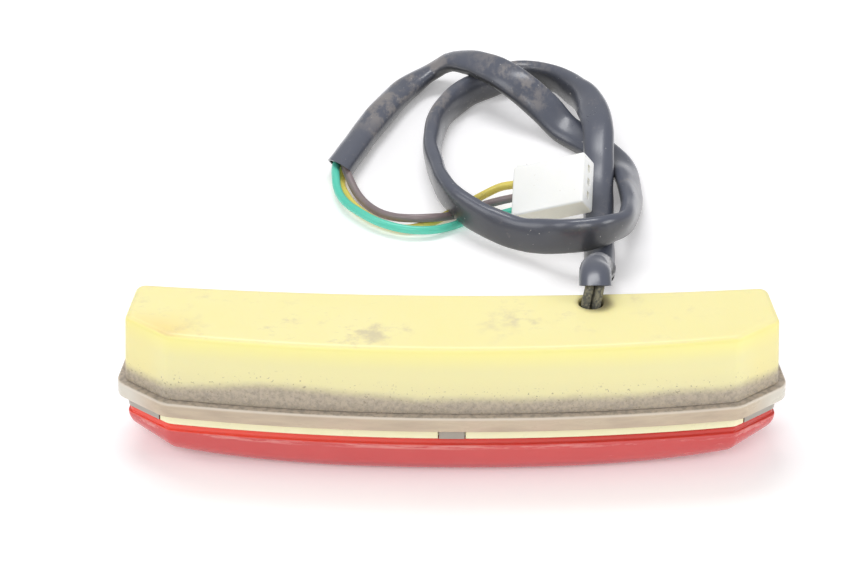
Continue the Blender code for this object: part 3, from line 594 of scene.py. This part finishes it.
def turned_bmesh(profile, segments):
    """A solid turned about Z from (radius, height) points, the first and last on the axis."""
    bm = bmesh.new()
    rows = []
    for radius, height in profile:
        if radius == 0:
            rows.append([bm.verts.new((0, 0, height))])
            continue
        turns = [2 * math.pi * index / segments for index in range(segments)]
        circle = [(radius * math.cos(turn), radius * math.sin(turn)) for turn in turns]
        rows.append([bm.verts.new((x, y, height)) for x, y in circle])
    for low, high in zip(rows, rows[1:]):
        for index in range(segments):
            after = (index + 1) % segments
            face = [low[index % len(low)], low[after % len(low)]]
            face += [high[after % len(high)], high[index % len(high)]]
            bm.faces.new(list(dict.fromkeys(face)))
    return bm


def box_bmesh(low, high):
    bm = bmesh.new()
    bmesh.ops.create_cube(bm, size=1.0)
    for vert in bm.verts:
        vert.co = [low[axis] + (vert.co[axis] + 0.5) * (high[axis] - low[axis]) for axis in range(3)]
    return bm


def settle(made):
    """Replace an object's mesh by its evaluated one, with no modifiers left."""
    depsgraph = bpy.context.evaluated_depsgraph_get()
    mesh = bpy.data.meshes.new_from_object(made.evaluated_get(depsgraph))
    made.modifiers.clear()
    made.data = mesh


def cut(target, cutters):
    """Subtract closed bmeshes from an object for good."""
    helpers = []
    for bm in cutters:
        helper = from_bmesh("cutter", bm, None)
        helpers.append(helper)
        change = target.modifiers.new("cut", "BOOLEAN")
        change.operation = "DIFFERENCE"
        change.solver = "EXACT"
        change.object = helper
    settle(target)
    for helper in helpers:
        bpy.data.objects.remove(helper)
    target.data.shade_smooth()
    target.data.set_sharp_from_angle(angle=math.radians(40))


def rounded_edge(inset, z, radius, steps=6):
    """Rings that turn a wall's top over from upright to flat, inward."""
    rings = []
    for index in range(steps + 1):
        angle = math.pi / 2 * index / steps
        over = radius * (1 - math.cos(angle))
        rings.append(ring(inset + over, z - radius + radius * math.sin(angle)))
    return rings


def make_housing(finish):
    inner = WALL_THICKNESS
    foot = FLANGE_TOP_Z + FOOT_GAP
    shoulder = BACK_Z - EDGE_ROUND
    rings = [ring(inner, CEILING_Z), ring(inner - WALL_DRAFT, foot)]
    rings += [ring(FOOT_CHAMFER - WALL_DRAFT, foot), ring(-WALL_DRAFT, foot + FOOT_CHAMFER)]
    for share in (0.66, 0.33):
        rings.append(ring(-WALL_DRAFT * share, shoulder - share * (shoulder - foot)))
    rings += rounded_edge(0.0, BACK_Z, EDGE_ROUND)
    rings.append(ring(EDGE_ROUND + 0.3 * MM, BACK_Z))
    housing = from_bmesh("housing_shell", loft_bmesh(rings), finish)
    flare = HOLE_RADIUS + HOLE_CHAMFER
    hole = turned_bmesh(
        (
            (0, CEILING_Z - MM), (HOLE_RADIUS, CEILING_Z - MM), (HOLE_RADIUS, BACK_Z - HOLE_CHAMFER),
            (flare + 0.1 * MM, BACK_Z + 0.1 * MM), (flare, BACK_Z + MM),
            (0, BACK_Z + MM),
        ),
        48,
    )
    hole.transform(Matrix.Translation((HOLE_X, HOLE_Y, 0.0)))
    cut(housing, [hole])
    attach(housing, LAMP)
    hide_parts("housing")
    for number in (1, 2):
        make_boss(number, finish)


def make_boss(number, finish):
    """A turned screw boss under the ceiling, with its blind pilot hole."""
    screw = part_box(f"board_screw_{number}")
    x, y = [(low + high) / 2 for low, high in zip(screw[0][:2], screw[1][:2])]
    bore_top = CEILING_Z - BOSS_CAP
    root = CEILING_Z + 0.1 * MM
    profile = (
        (0, bore_top),
        (BOSS_BORE, bore_top),
        (BOSS_BORE, BOSS_LOW_Z),
        (BOSS_RADIUS - 0.3 * MM, BOSS_LOW_Z),
        (BOSS_RADIUS, BOSS_LOW_Z + 0.3 * MM),
        (BOSS_RADIUS, root - 0.8 * MM),
        (BOSS_RADIUS + 0.3 * MM, root - 0.3 * MM),
        (BOSS_RADIUS + 0.8 * MM, root),
        (0, root),
    )
    bm = turned_bmesh(profile, 32)
    bm.transform(Matrix.Translation((x, y, 0.0)))
    boss = from_bmesh(f"housing_boss_{number}", bm, finish)
    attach(boss, LAMP)


def make_lens_base(finish):
    """Clear ring: outer flange, locating rib inside the housing, skirt with two windows."""
    rib_in = RIB_INSET + RIB_THICKNESS
    angles = [math.pi / 2 * step / FLANGE_EDGE_STEPS for step in range(FLANGE_EDGE_STEPS + 1)]
    falling = [FLANGE_EDGE * (1 - math.sin(angle)) for angle in angles]
    rising = [FLANGE_EDGE * (1 - math.cos(angle)) for angle in angles]
    rings = [ring(SKIRT_INSET, BASE_Z), ring(-0.3 * MM, FLANGE_BOTTOM_Z)]
    for inset, up in zip(falling, rising):
        rings.append(ring(inset - FLANGE_OVERHANG, FLANGE_BOTTOM_Z + up))
    for inset, down in zip(rising, falling):
        rings.append(ring(inset - FLANGE_OVERHANG, FLANGE_TOP_Z - down))
    rings += [
        ring(-FLANGE_OVERHANG + 0.7 * MM, FLANGE_TOP_Z),
        ring(RIB_INSET, FLANGE_TOP_Z),
        ring(RIB_INSET, RIB_TOP_Z),
        ring(rib_in, RIB_TOP_Z),
        ring(rib_in, FLANGE_BOTTOM_Z),
        ring(SKIRT_INSET + SKIRT_THICKNESS, FLANGE_BOTTOM_Z),
        ring(SKIRT_INSET + SKIRT_THICKNESS, BASE_Z),
    ]
    base = from_bmesh("clear_flange", loft_bmesh(rings, closed=True), finish)
    windows = []
    for side in (-1, 1):
        low, high = sorted((side * WINDOW_START_X, side * WINDOW_END_X))
        windows.append(box_bmesh((low, -60 * MM, BASE_Z - MM), (high, 60 * MM, FLANGE_BOTTOM_Z)))
    cut(base, windows)
    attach(base, LAMP)
    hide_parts("lens_base")


def dome_ring(share, wall):
    """One ring of the lens dome; share runs from 0 at the rim to 1 at its flat middle."""
    inset = LENS_ROUND * (1 - math.cos(share * math.pi / 2)) + wall
    edge_z = LENS_RIM_Z - (LENS_GROOVE_DEPTH + 0.4 * MM) * (1 - wall / LENS_WALL)
    section = 1 - math.cos(share * math.pi / 2)
    fall = (1 - (1 - section) ** LENS_SECTION_POWER) ** (1 / LENS_SECTION_POWER)
    points = []
    for point in ring(inset, 0.0):
        along = min(abs(point.x) / LENS_HALF_LENGTH, 1.0)
        depth = (1 - along**LENS_LENGTH_POWER) ** (1 / LENS_LENGTH_POWER)
        depth = min(depth / LENS_FLAT_SHARE, 1.0) * (edge_z - wall)
        points.append(Vector((point.x, point.y, edge_z - depth * fall)))
    return points


def make_red_lens(finish):
    shares = [index / LENS_RINGS for index in range(LENS_RINGS + 1)]
    inside = [dome_ring(share, LENS_WALL) for share in reversed(shares)]
    rim = [ring(LENS_GROOVE + 0.1 * MM, LENS_RIM_Z), ring(LENS_GROOVE, LENS_RIM_Z - 0.12 * MM)]
    rim += [ring(LENS_GROOVE, LENS_GROOVE_Z + 0.1 * MM), ring(LENS_GROOVE - 0.1 * MM, LENS_GROOVE_Z)]
    shoulder = [ring(0.18 * MM, LENS_GROOVE_Z - 0.02 * MM), ring(0.03 * MM, LENS_GROOVE_Z - 0.15 * MM)]
    outside = [dome_ring(share, 0.0) for share in shares]
    lens = from_bmesh("red_dome", loft_bmesh(inside + rim + shoulder + outside), finish)
    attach(lens, LAMP)
    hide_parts("red_lens")


# ---------------------------------------------------------------- harness

WIRE_RADIUS = 1.15 * MM
TRIAD_RADIUS = 1.52 * MM
SLEEVE_RADIUS = 3.65 * MM
SLEEVE_WALL = 0.55 * MM
MOUTH_LEAN = math.radians(20)
MOUTH = Vector((HOLE_X + 1.0 * MM, HOLE_Y + 1.7 * MM, BACK_Z + 3.8 * MM))
MOUTH_AXIS = Vector((0.0, math.cos(MOUTH_LEAN), math.sin(MOUTH_LEAN)))
BOARD_TOP_Z = 24.5 * MM
PAD_PITCH = 4.0 * MM

PLUG_LENGTH = 21.5 * MM
PLUG_WIDTH = 15.8 * MM
PLUG_THICKNESS = 6.6 * MM
PLUG_CENTRE = Vector((27.6, 112.2, 10.9)) * MM
PLUG_X = Vector((0.887, -0.273, 0.373)).normalized()
PLUG_Y = Vector((0.052, 0.861, 0.505))
CAVITY_PITCH = 4.2 * MM
CAVITY_SIZE = 3.1 * MM
CAVITY_DEPTH = 19.5 * MM
LATCH_LENGTH = 12.0 * MM
LATCH_WIDTH = 3.6 * MM
LATCH_THICKNESS = 0.8 * MM
LATCH_PAD_LENGTH = 3.2 * MM
LATCH_PAD_HEIGHT = 1.6 * MM
LATCH_SLOT_DEPTH = 1.8 * MM

# The harness on the table: the points of its routes in millimetres.
SLEEVE_ROUTE = (
    (35.2, 17, 40.3), (36, 25.4, 35.8), (36.5, 33.9, 31), (37.2, 43.4, 25.6), (38, 55, 18.9),
    (39, 67.8, 11.4), (39.2, 79, 5), (39.8, 95.5, 3.8), (40.3, 115.5, 4.6), (40.8, 130.5, 7.6),
    (41, 144.5, 11.6), (40, 157.5, 11.6), (36.5, 173.5, 8.6), (29, 189, 5.2), (20.5, 193.5, 4.1),
    (11.5, 188, 3.8), (4, 180.5, 3.8), (-2.5, 167, 3.8), (-5, 150, 3.8), (-3.5, 130, 4.9),
    (0.5, 114, 7.2), (7.5, 104, 6.8), (16.5, 96.5, 6.2), (25, 90.5, 8.5), (32.5, 86, 11.3),
    (39.5, 86.5, 12.3), (45.3, 93.5, 10.4), (48.3, 106.5, 7.2), (49, 123.5, 4.6), (47, 140, 3.8),
    (40.5, 151.5, 3.8), (33, 160.5, 4.2), (26.5, 167, 7.6), (19.5, 172, 11.6), (13.5, 179, 12.4),
    (7, 187, 11.3), (0.5, 194, 8.2), (-6, 194.5, 5), (-13, 186.5, 3.8), (-21, 167.5, 3.8),
    (-30.5, 138, 3.8),
)
WIRES = {
    "green": {
        "angle": 10,
        "across": -1,
        "route": (
            (-31.7, 131.8, 4.1), (-30.9, 125.1, 3.2), (-28.6, 118.7, 3), (-24.2, 112.6, 3),
            (-19, 107.6, 2.9), (-12.3, 104.5, 2.7), (-5.5, 104.9, 2.2), (-0.2, 108.1, 1.5),
            (5.6, 112.7, 1.3), (10, 113.5, 1.8), (13.9, 112.8, 2.9),
        ),
    },
    "brown": {
        "angle": 130,
        "across": 0,
        "route": (
            (-27.8, 131.9, 3.1), (-25, 124.7, 1.5), (-20.9, 117.7, 1.3), (-15.8, 112.1, 2.3),
            (-10.4, 108.7, 3.7), (-5.2, 109.3, 3.6), (-0.6, 112.5, 2.3), (3.6, 115.7, 1.6),
            (8.4, 117.1, 3), (13.4, 116.6, 4.9),
        ),
    },
    "yellow": {
        "angle": 250,
        "across": 1,
        "route": (
            (-30, 131.1, 1.3), (-28.8, 126.4, 1.25), (-27, 121.3, 1.25), (-23.5, 115.5, 1.25),
            (-18.8, 110.5, 1.25), (-12.3, 107.3, 1.25), (-6.6, 109.7, 1.25), (-1.6, 114.5, 1.25),
            (3.2, 119.3, 1.5), (8.8, 120.9, 4.2), (13.6, 120.4, 7.1),
        ),
    },
}
WIRE_STEPS = 90
LEAD_STEPS = 60

# For each point of the sleeve's route: how far its flattened section is turned about the
# cord, in degrees, and how flat it is, from 0 for round to 1.
SLEEVE_SECTIONS = (
    (0, 0.3), (0, 0.3), (0, 0.35), (0, 0.5), (0, 0.6), (0, 0.6), (0, 0.5), (0, 0.4), (0, 0.4),
    (-4, 0.5), (-8, 0.6), (-14, 0.7), (-34, 0.8), (-52, 0.8), (-44, 0.6), (-30, 0.6), (-34, 0.8),
    (-55, 1), (-76, 1), (-104, 1), (-122, 1), (-142, 1), (-156, 1), (-170, 1), (-160, 1),
    (-142, 1), (-118, 1), (-112, 1), (-124, 0.9), (-138, 0.8), (-152, 0.8), (-158, 0.9),
    (-170, 1), (-172, 1), (-158, 1), (-138, 1), (-112, 1.1), (-106, 1.1), (-132, 0.9), (-146, 0.6),
    (-146, 0.3),
)
SLEEVE_RINGS = 260
SLEEVE_SIDES = 40
SECTION_POWER = 2.35
SLEEVE_WIDENING = 1.05 * MM
SLEEVE_THINNING = 1.2 * MM
SLEEVE_UNEVENNESS = 0.06
SLEEVE_LUMP = 9 * MM
SETTLE_BELOW_Z = 7.0 * MM
SETTLE_OVER = 2.5 * MM
TABLE_CLEARANCE = 0.05 * MM
# the line of sight of the main view, which the sections' turns are counted from
FACE_WAY = Vector((0.0, 0.866, -0.5))
MOUTH_SLANT = -0.7
END_SLANT = 1.15
SLANT_RINGS = 8
LEAD_RINGS = (0, 1, 2, 3)


def in_metres(route):
    return [Vector(point) * MM for point in route]


def tangents_of(points):
    ways = [second - first for first, second in zip(points, points[2:])]
    ways = [points[1] - points[0], *ways, points[-1] - points[-2]]
    return [way.normalized() for way in ways]


def route_shares(route, points):
    """Where each route point falls along evenly spaced points, from 0 to 1."""
    shares, start = [], 0
    for target in route:
        window = range(start, min(start + 30, len(points)))
        start = min(window, key=lambda index: (points[index] - target).length)
        shares.append(start / (len(points) - 1))
    return shares


def graded(shares, values, share):
    """Smooth reading between keyed values."""
    for low, high, first, second in zip(shares, shares[1:], values, values[1:]):
        if share <= high:
            along = max(0.0, (share - low) / max(high - low, 1e-6))
            along = along * along * (3 - 2 * along)
            return first + (second - first) * along
    return values[-1]


def section_ring(centre, wide, thin, half_wide, half_thin):
    """One rounded-rectangle ring, a little uneven."""
    points = []
    for index in range(SLEEVE_SIDES):
        angle = 2 * math.pi * index / SLEEVE_SIDES
        across, up = math.cos(angle), math.sin(angle)
        across = math.copysign(abs(across) ** (2 / SECTION_POWER), across)
        up = math.copysign(abs(up) ** (2 / SECTION_POWER), up)
        reach = wide * across * half_wide + thin * up * half_thin
        reach = reach * (1 + SLEEVE_UNEVENNESS * noise.noise((centre + reach) / SLEEVE_LUMP))
        points.append(centre + reach)
    return points


def slant(rings, centres, ways, end, amount):
    """Cut an end of the sleeve at a slant: its upper side reaches further than its lower one."""
    way = ways[end]
    above = way.cross(way.cross(FACE_WAY)).normalized()
    for step in range(SLANT_RINGS):
        index = end - step if end < 0 else step
        fade = (1 - step / SLANT_RINGS) ** 1.5
        for point in rings[index]:
            point += way * ((point - centres[index]).dot(above) * amount * fade)


def make_sleeve(finish):
    """A thin PVC tube, round at the lamp and slackly flattened where nothing fills it."""
    route = [MOUTH, MOUTH + MOUTH_AXIS * 3.0 * MM] + in_metres(SLEEVE_ROUTE)
    sections = ((0, 0.3), (0, 0.3)) + SLEEVE_SECTIONS
    line = smooth_points(route, SLEEVE_RINGS)
    shares = route_shares(route, line)
    turns = [math.radians(turn) for turn, _ in sections]
    flats = [flat for _, flat in sections]
    frames = []
    for index, (point, way) in enumerate(zip(line, tangents_of(line))):
        share = index / (len(line) - 1)
        turn, flat = graded(shares, turns, share), graded(shares, flats, share)
        half_wide = SLEEVE_RADIUS + SLEEVE_WIDENING * flat
        half_thin = SLEEVE_RADIUS - SLEEVE_THINNING * flat
        # known fault: this frame turns over where the sleeve runs along FACE_WAY, and the tube
        # is pinched there, just before it reaches the table
        left = way.cross(FACE_WAY).normalized()
        front = way.cross(left)
        wide = left * math.cos(turn) + front * math.sin(turn)
        thin = way.cross(wide)
        rest = math.hypot(half_wide * wide.z, half_thin * thin.z)
        settled = min(max((SETTLE_BELOW_Z - point.z) / SETTLE_OVER, 0.0), 1.0)
        centre = point + Vector((0, 0, (rest + TABLE_CLEARANCE - SLEEVE_RADIUS) * settled))
        frames.append((centre, wide, thin, half_wide, half_thin))
    outer = [section_ring(*part) for part in frames]
    inner = [
        section_ring(centre, wide, thin, half_wide - SLEEVE_WALL, half_thin - SLEEVE_WALL)
        for centre, wide, thin, half_wide, half_thin in frames
    ]
    centres = [part[0] for part in frames]
    ways = tangents_of(centres)
    for rings in (outer, inner):
        slant(rings, centres, ways, 0, MOUTH_SLANT)
        slant(rings, centres, ways, -1, END_SLANT)
    sleeve = from_bmesh("sleeve_tube", tube_bmesh(outer + inner[::-1]), finish, 60)
    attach(sleeve, LAMP)
    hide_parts("cable_sleeve")
    return centres


def tube_bmesh(rings):
    """Skin rings into a closed ring-shaped sheet: out along one surface, back along the other."""
    bm = bmesh.new()
    rows = [[bm.verts.new(point) for point in points] for points in rings]
    for low, high in zip(rows, rows[1:] + rows[:1]):
        for index in range(len(low)):
            after = (index + 1) % len(low)
            bm.faces.new((low[index], low[after], high[after], high[index]))
    return bm


def round_cord(name, points, radius, finish):
    curve = bpy.data.curves.new(name, "CURVE")
    curve.dimensions = "3D"
    curve.bevel_depth = radius
    curve.bevel_resolution = 7
    curve.use_fill_caps = True
    spline = curve.splines.new("POLY")
    spline.points.add(len(points) - 1)
    for target, point in zip(spline.points, points):
        target.co = (*point, 1.0)
    spline.use_smooth = True
    return link(name, curve, finish)


def triad(centre, axis, degrees):
    side = axis.cross(Vector((0, 0, 1))).normalized()
    above = side.cross(axis)
    angle = math.radians(degrees)
    return centre + (side * math.cos(angle) + above * math.sin(angle)) * TRIAD_RADIUS


def plug_matrix():
    face = PLUG_X.cross(PLUG_Y).normalized()
    across = face.cross(PLUG_X)
    turn = Matrix((PLUG_X, across, face)).transposed().to_4x4()
    return Matrix.Translation(PLUG_CENTRE) @ turn


def make_wires(sleeve_points, finishes):
    """Bare wires out of the sleeve's far end, into the plug's cavities."""
    end = sleeve_points[-1]
    axis = (sleeve_points[-1] - sleeve_points[-4]).normalized()
    plug = plug_matrix()
    for colour, wire in WIRES.items():
        start = triad(end, axis, wire["angle"])
        entry = Vector((-PLUG_LENGTH / 2, wire["across"] * CAVITY_PITCH, 0.0))
        route = [start - axis * 6.0 * MM, start - axis * 1.0 * MM] + in_metres(wire["route"])
        route += [plug @ (entry + Vector((step, 0, 0))) for step in (-0.6 * MM, 3.0 * MM)]
        points = smooth_points(route, WIRE_STEPS)
        made = round_cord(f"{colour}_wire", points, WIRE_RADIUS, finishes[colour])
        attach(made, LAMP)
        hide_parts(f"wire_{colour}")


def make_leads(finishes, sleeve_points):
    """Three leads from the board, through the seal and the hole, bent over into the sleeve."""
    hole = Vector((HOLE_X, HOLE_Y, 0.0))
    ways = tangents_of(sleeve_points)
    for colour, degrees in (("green", 150), ("brown", 30), ("yellow", 270)):
        angle = math.radians(degrees)
        spread = Vector((math.cos(angle), -math.sin(angle), 0.0))
        stem = hole + spread * TRIAD_RADIUS
        pad_y = -2.6 * MM + spread.y * 0.6 * MM
        pad = hole + Vector((spread.x * PAD_PITCH, pad_y, BOARD_TOP_Z + GAP))
        inside = []
        for index in LEAD_RINGS:
            above = Vector((1.0, 0.0, 0.0)).cross(ways[index])
            offset = Vector((spread.x, 0.0, 0.0)) - above * spread.y
            inside.append(sleeve_points[index] + offset * TRIAD_RADIUS * 0.95)
        route = [
            pad,
            pad + Vector((0, 0, 1.6 * MM)),
            stem + Vector((0, 0, CEILING_Z - 3.4 * MM)),
            stem + Vector((0, 0, CEILING_Z)),
            stem + Vector((0, 0, BACK_Z - 0.2 * MM)),
            *inside,
        ]
        points = smooth_points(route, LEAD_STEPS)
        lead = round_cord(f"{colour}_lead", points, WIRE_RADIUS, finishes[colour])
        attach(lead, LAMP)
        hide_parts(f"lead_{colour}")


# ---------------------------------------------------------------- plug


def soften(made, width, segments=3):
    """Round an object's edges for good."""
    bevel = made.modifiers.new("edge", "BEVEL")
    bevel.width = width
    bevel.segments = segments
    bevel.limit_method = "ANGLE"
    bevel.harden_normals = False
    settle(made)
    made.data.shade_smooth()
    made.data.set_sharp_from_angle(angle=math.radians(35))


def make_plug(finish):
    half = Vector((PLUG_LENGTH, PLUG_WIDTH, PLUG_THICKNESS)) / 2
    plug = from_bmesh("nylon_plug", box_bmesh(-half, half), finish)
    soften(plug, 0.7 * MM, 4)
    cutters = []
    for lane in (-1, 0, 1):
        y, room = lane * CAVITY_PITCH, CAVITY_SIZE / 2
        cutters.append(
            box_bmesh((-half.x - MM, y - room, -room), (-half.x + CAVITY_DEPTH, y + room, room))
        )
        cutters.append(box_bmesh((0.0, y - 1.1 * MM, -0.6 * MM), (half.x + MM, y + 1.1 * MM, 0.6 * MM)))
    cutters.append(
        box_bmesh(
            (-half.x - MM, half.y - LATCH_SLOT_DEPTH, -LATCH_WIDTH / 2 - GAP),
            (-half.x + LATCH_LENGTH + 2 * GAP, half.y + MM, LATCH_WIDTH / 2 + GAP),
        )
    )
    cut(plug, cutters)
    plug.matrix_world = plug_matrix()
    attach(plug, LAMP)
    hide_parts("plug_housing")
    return plug


def make_latch(finish):
    """Latch arm and its thumb pad."""
    arm_low = PLUG_WIDTH / 2 - LATCH_THICKNESS
    hinge = Vector((-PLUG_LENGTH / 2 + LATCH_LENGTH + GAP, arm_low, 0.0))
    half_width = LATCH_WIDTH / 2
    top = LATCH_THICKNESS + LATCH_PAD_HEIGHT
    outline = (
        (0.0, 0.0), (0.0, LATCH_THICKNESS), (-LATCH_LENGTH + LATCH_PAD_LENGTH, LATCH_THICKNESS),
        (-LATCH_LENGTH + LATCH_PAD_LENGTH - 0.6 * MM, top), (-LATCH_LENGTH + 0.3 * MM, top),
        (-LATCH_LENGTH, top - 0.4 * MM), (-LATCH_LENGTH, 0.0),
    )
    bm = bmesh.new()
    low = [bm.verts.new((x, y, -half_width)) for x, y in outline]
    high = [bm.verts.new((x, y, half_width)) for x, y in outline]
    bm.faces.new(low)
    bm.faces.new(high)
    for index in range(len(outline)):
        after = (index + 1) % len(outline)
        bm.faces.new((low[index], low[after], high[after], high[index]))
    latch = from_bmesh("nylon_latch", bm, finish)
    soften(latch, 0.3 * MM, 3)
    latch.matrix_world = plug_matrix() @ Matrix.Translation(hinge)
    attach(latch, LATCH)
    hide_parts("plug_latch")
    return latch


# ---------------------------------------------------------------- build

nylon = nylon_finish()
plug = make_plug(nylon)
latch = make_latch(nylon)
sleeve_line = make_sleeve(sleeve_finish())
make_wires(
    sleeve_line,
    {
        "green": wire_finish("wire_green", rgb(78, 198, 172), rgb(102, 214, 190), 0.15),
        "brown": wire_finish("wire_brown", rgb(124, 110, 114), rgb(146, 132, 134), 0.4),
        "yellow": wire_finish("wire_yellow", rgb(226, 208, 92), rgb(236, 220, 116), 0.3),
    },
)
make_leads(
    {
        "green": lead_finish("lead_green", rgb(40, 168, 142)),
        "brown": lead_finish("lead_brown", rgb(96, 82, 86)),
        "yellow": lead_finish("lead_yellow", rgb(226, 200, 60)),
    },
    sleeve_line,
)
make_housing(cream_housing_finish())
make_lens_base(clear_base_finish())
make_red_lens(red_lens_finish())

# inner pieces stay as packed, with finishes of their own
INNER = {
    "reflector_tray": ("tray", tray_finish()),
    "sealing_bead": ("sealant", plain_finish("sealant", rgb(150, 146, 136), rgb(178, 172, 158), 0.7)),
    "cable_seal": ("sealant", plain_finish("seal_block", rgb(140, 138, 130), rgb(170, 166, 152), 0.7)),
    "circuit_board": ("board", plain_finish("board", rgb(24, 92, 44), rgb(40, 120, 58), 0.4)),
    "red_led": ("led_red", plain_finish("led_red", rgb(196, 22, 20), rgb(222, 44, 36), 0.15, coat=0.6)),
    "plate_led": ("led_clear", plain_finish("led_clear", rgb(212, 220, 228), rgb(232, 236, 240), 0.15)),
    "board_screw": ("screw", plain_finish("screw", rgb(176, 174, 168), rgb(206, 204, 196), 0.35, 1.0)),
    "resistor": ("resistor", plain_finish("resistor", rgb(196, 168, 128), rgb(212, 186, 148), 0.55)),
    "diode": ("diode", plain_finish("diode", rgb(26, 26, 28), rgb(44, 44, 46), 0.45)),
    "terminal": ("contact", plain_finish("contact", rgb(196, 178, 132), rgb(220, 204, 164), 0.35, 1.0)),
}
for name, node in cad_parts.items():
    for start, (slot, finish) in INNER.items():
        if name.startswith(start):
            node.data.materials.clear()
            node.data.materials.append(finish)

# ---------------------------------------------------------------- table and light


def make_table():
    """A plain white table, a little glossy, with a faint even glow of its own."""
    bm = bmesh.new()
    bmesh.ops.create_grid(bm, x_segments=2, y_segments=2, size=4.0)
    p = Paint("table", roughness=0.35)
    p.set(Base_Color=p.mix(p.noise(20), (0.91, 0.905, 0.92), (0.93, 0.925, 0.94)))
    p.set(Emission_Color=(1.0, 0.99, 1.0), Emission_Strength=0.22)
    from_bmesh("table", bm, p.material)


def make_light(name, place, target, size, power):
    data = bpy.data.lights.new(name, "AREA")
    data.shape = "RECTANGLE"
    data.size, data.size_y = size
    data.energy = power
    light = bpy.data.objects.new(name, data)
    light.location = place
    way = Vector(target) - Vector(place)
    light.rotation_euler = way.to_track_quat("-Z", "Y").to_euler()
    bpy.context.scene.collection.objects.link(light)


def make_world(strength):
    world = bpy.data.worlds.new("studio")
    world.use_nodes = True
    background = world.node_tree.nodes["Background"]
    background.inputs["Color"].default_value = (1.0, 1.0, 1.0, 1.0)
    background.inputs["Strength"].default_value = strength
    bpy.context.scene.world = world


make_table()
make_world(0.38)
make_light("top", (-0.1, 0.4, 0.85), (0.0, 0.08, 0.0), (0.6, 0.3), 3.6)
make_light("front", (-0.25, -1.05, 0.9), (0.0, 0.0, 0.0), (0.9, 0.5), 6.0)
make_light("left", (-0.9, 0.0, 0.6), (0.0, 0.08, 0.0), (0.5, 0.5), 1.8)
make_light("right", (0.95, -0.25, 0.5), (0.0, 0.08, 0.0), (0.5, 0.5), 3.2)
bpy.context.scene.view_settings.view_transform = "Standard"
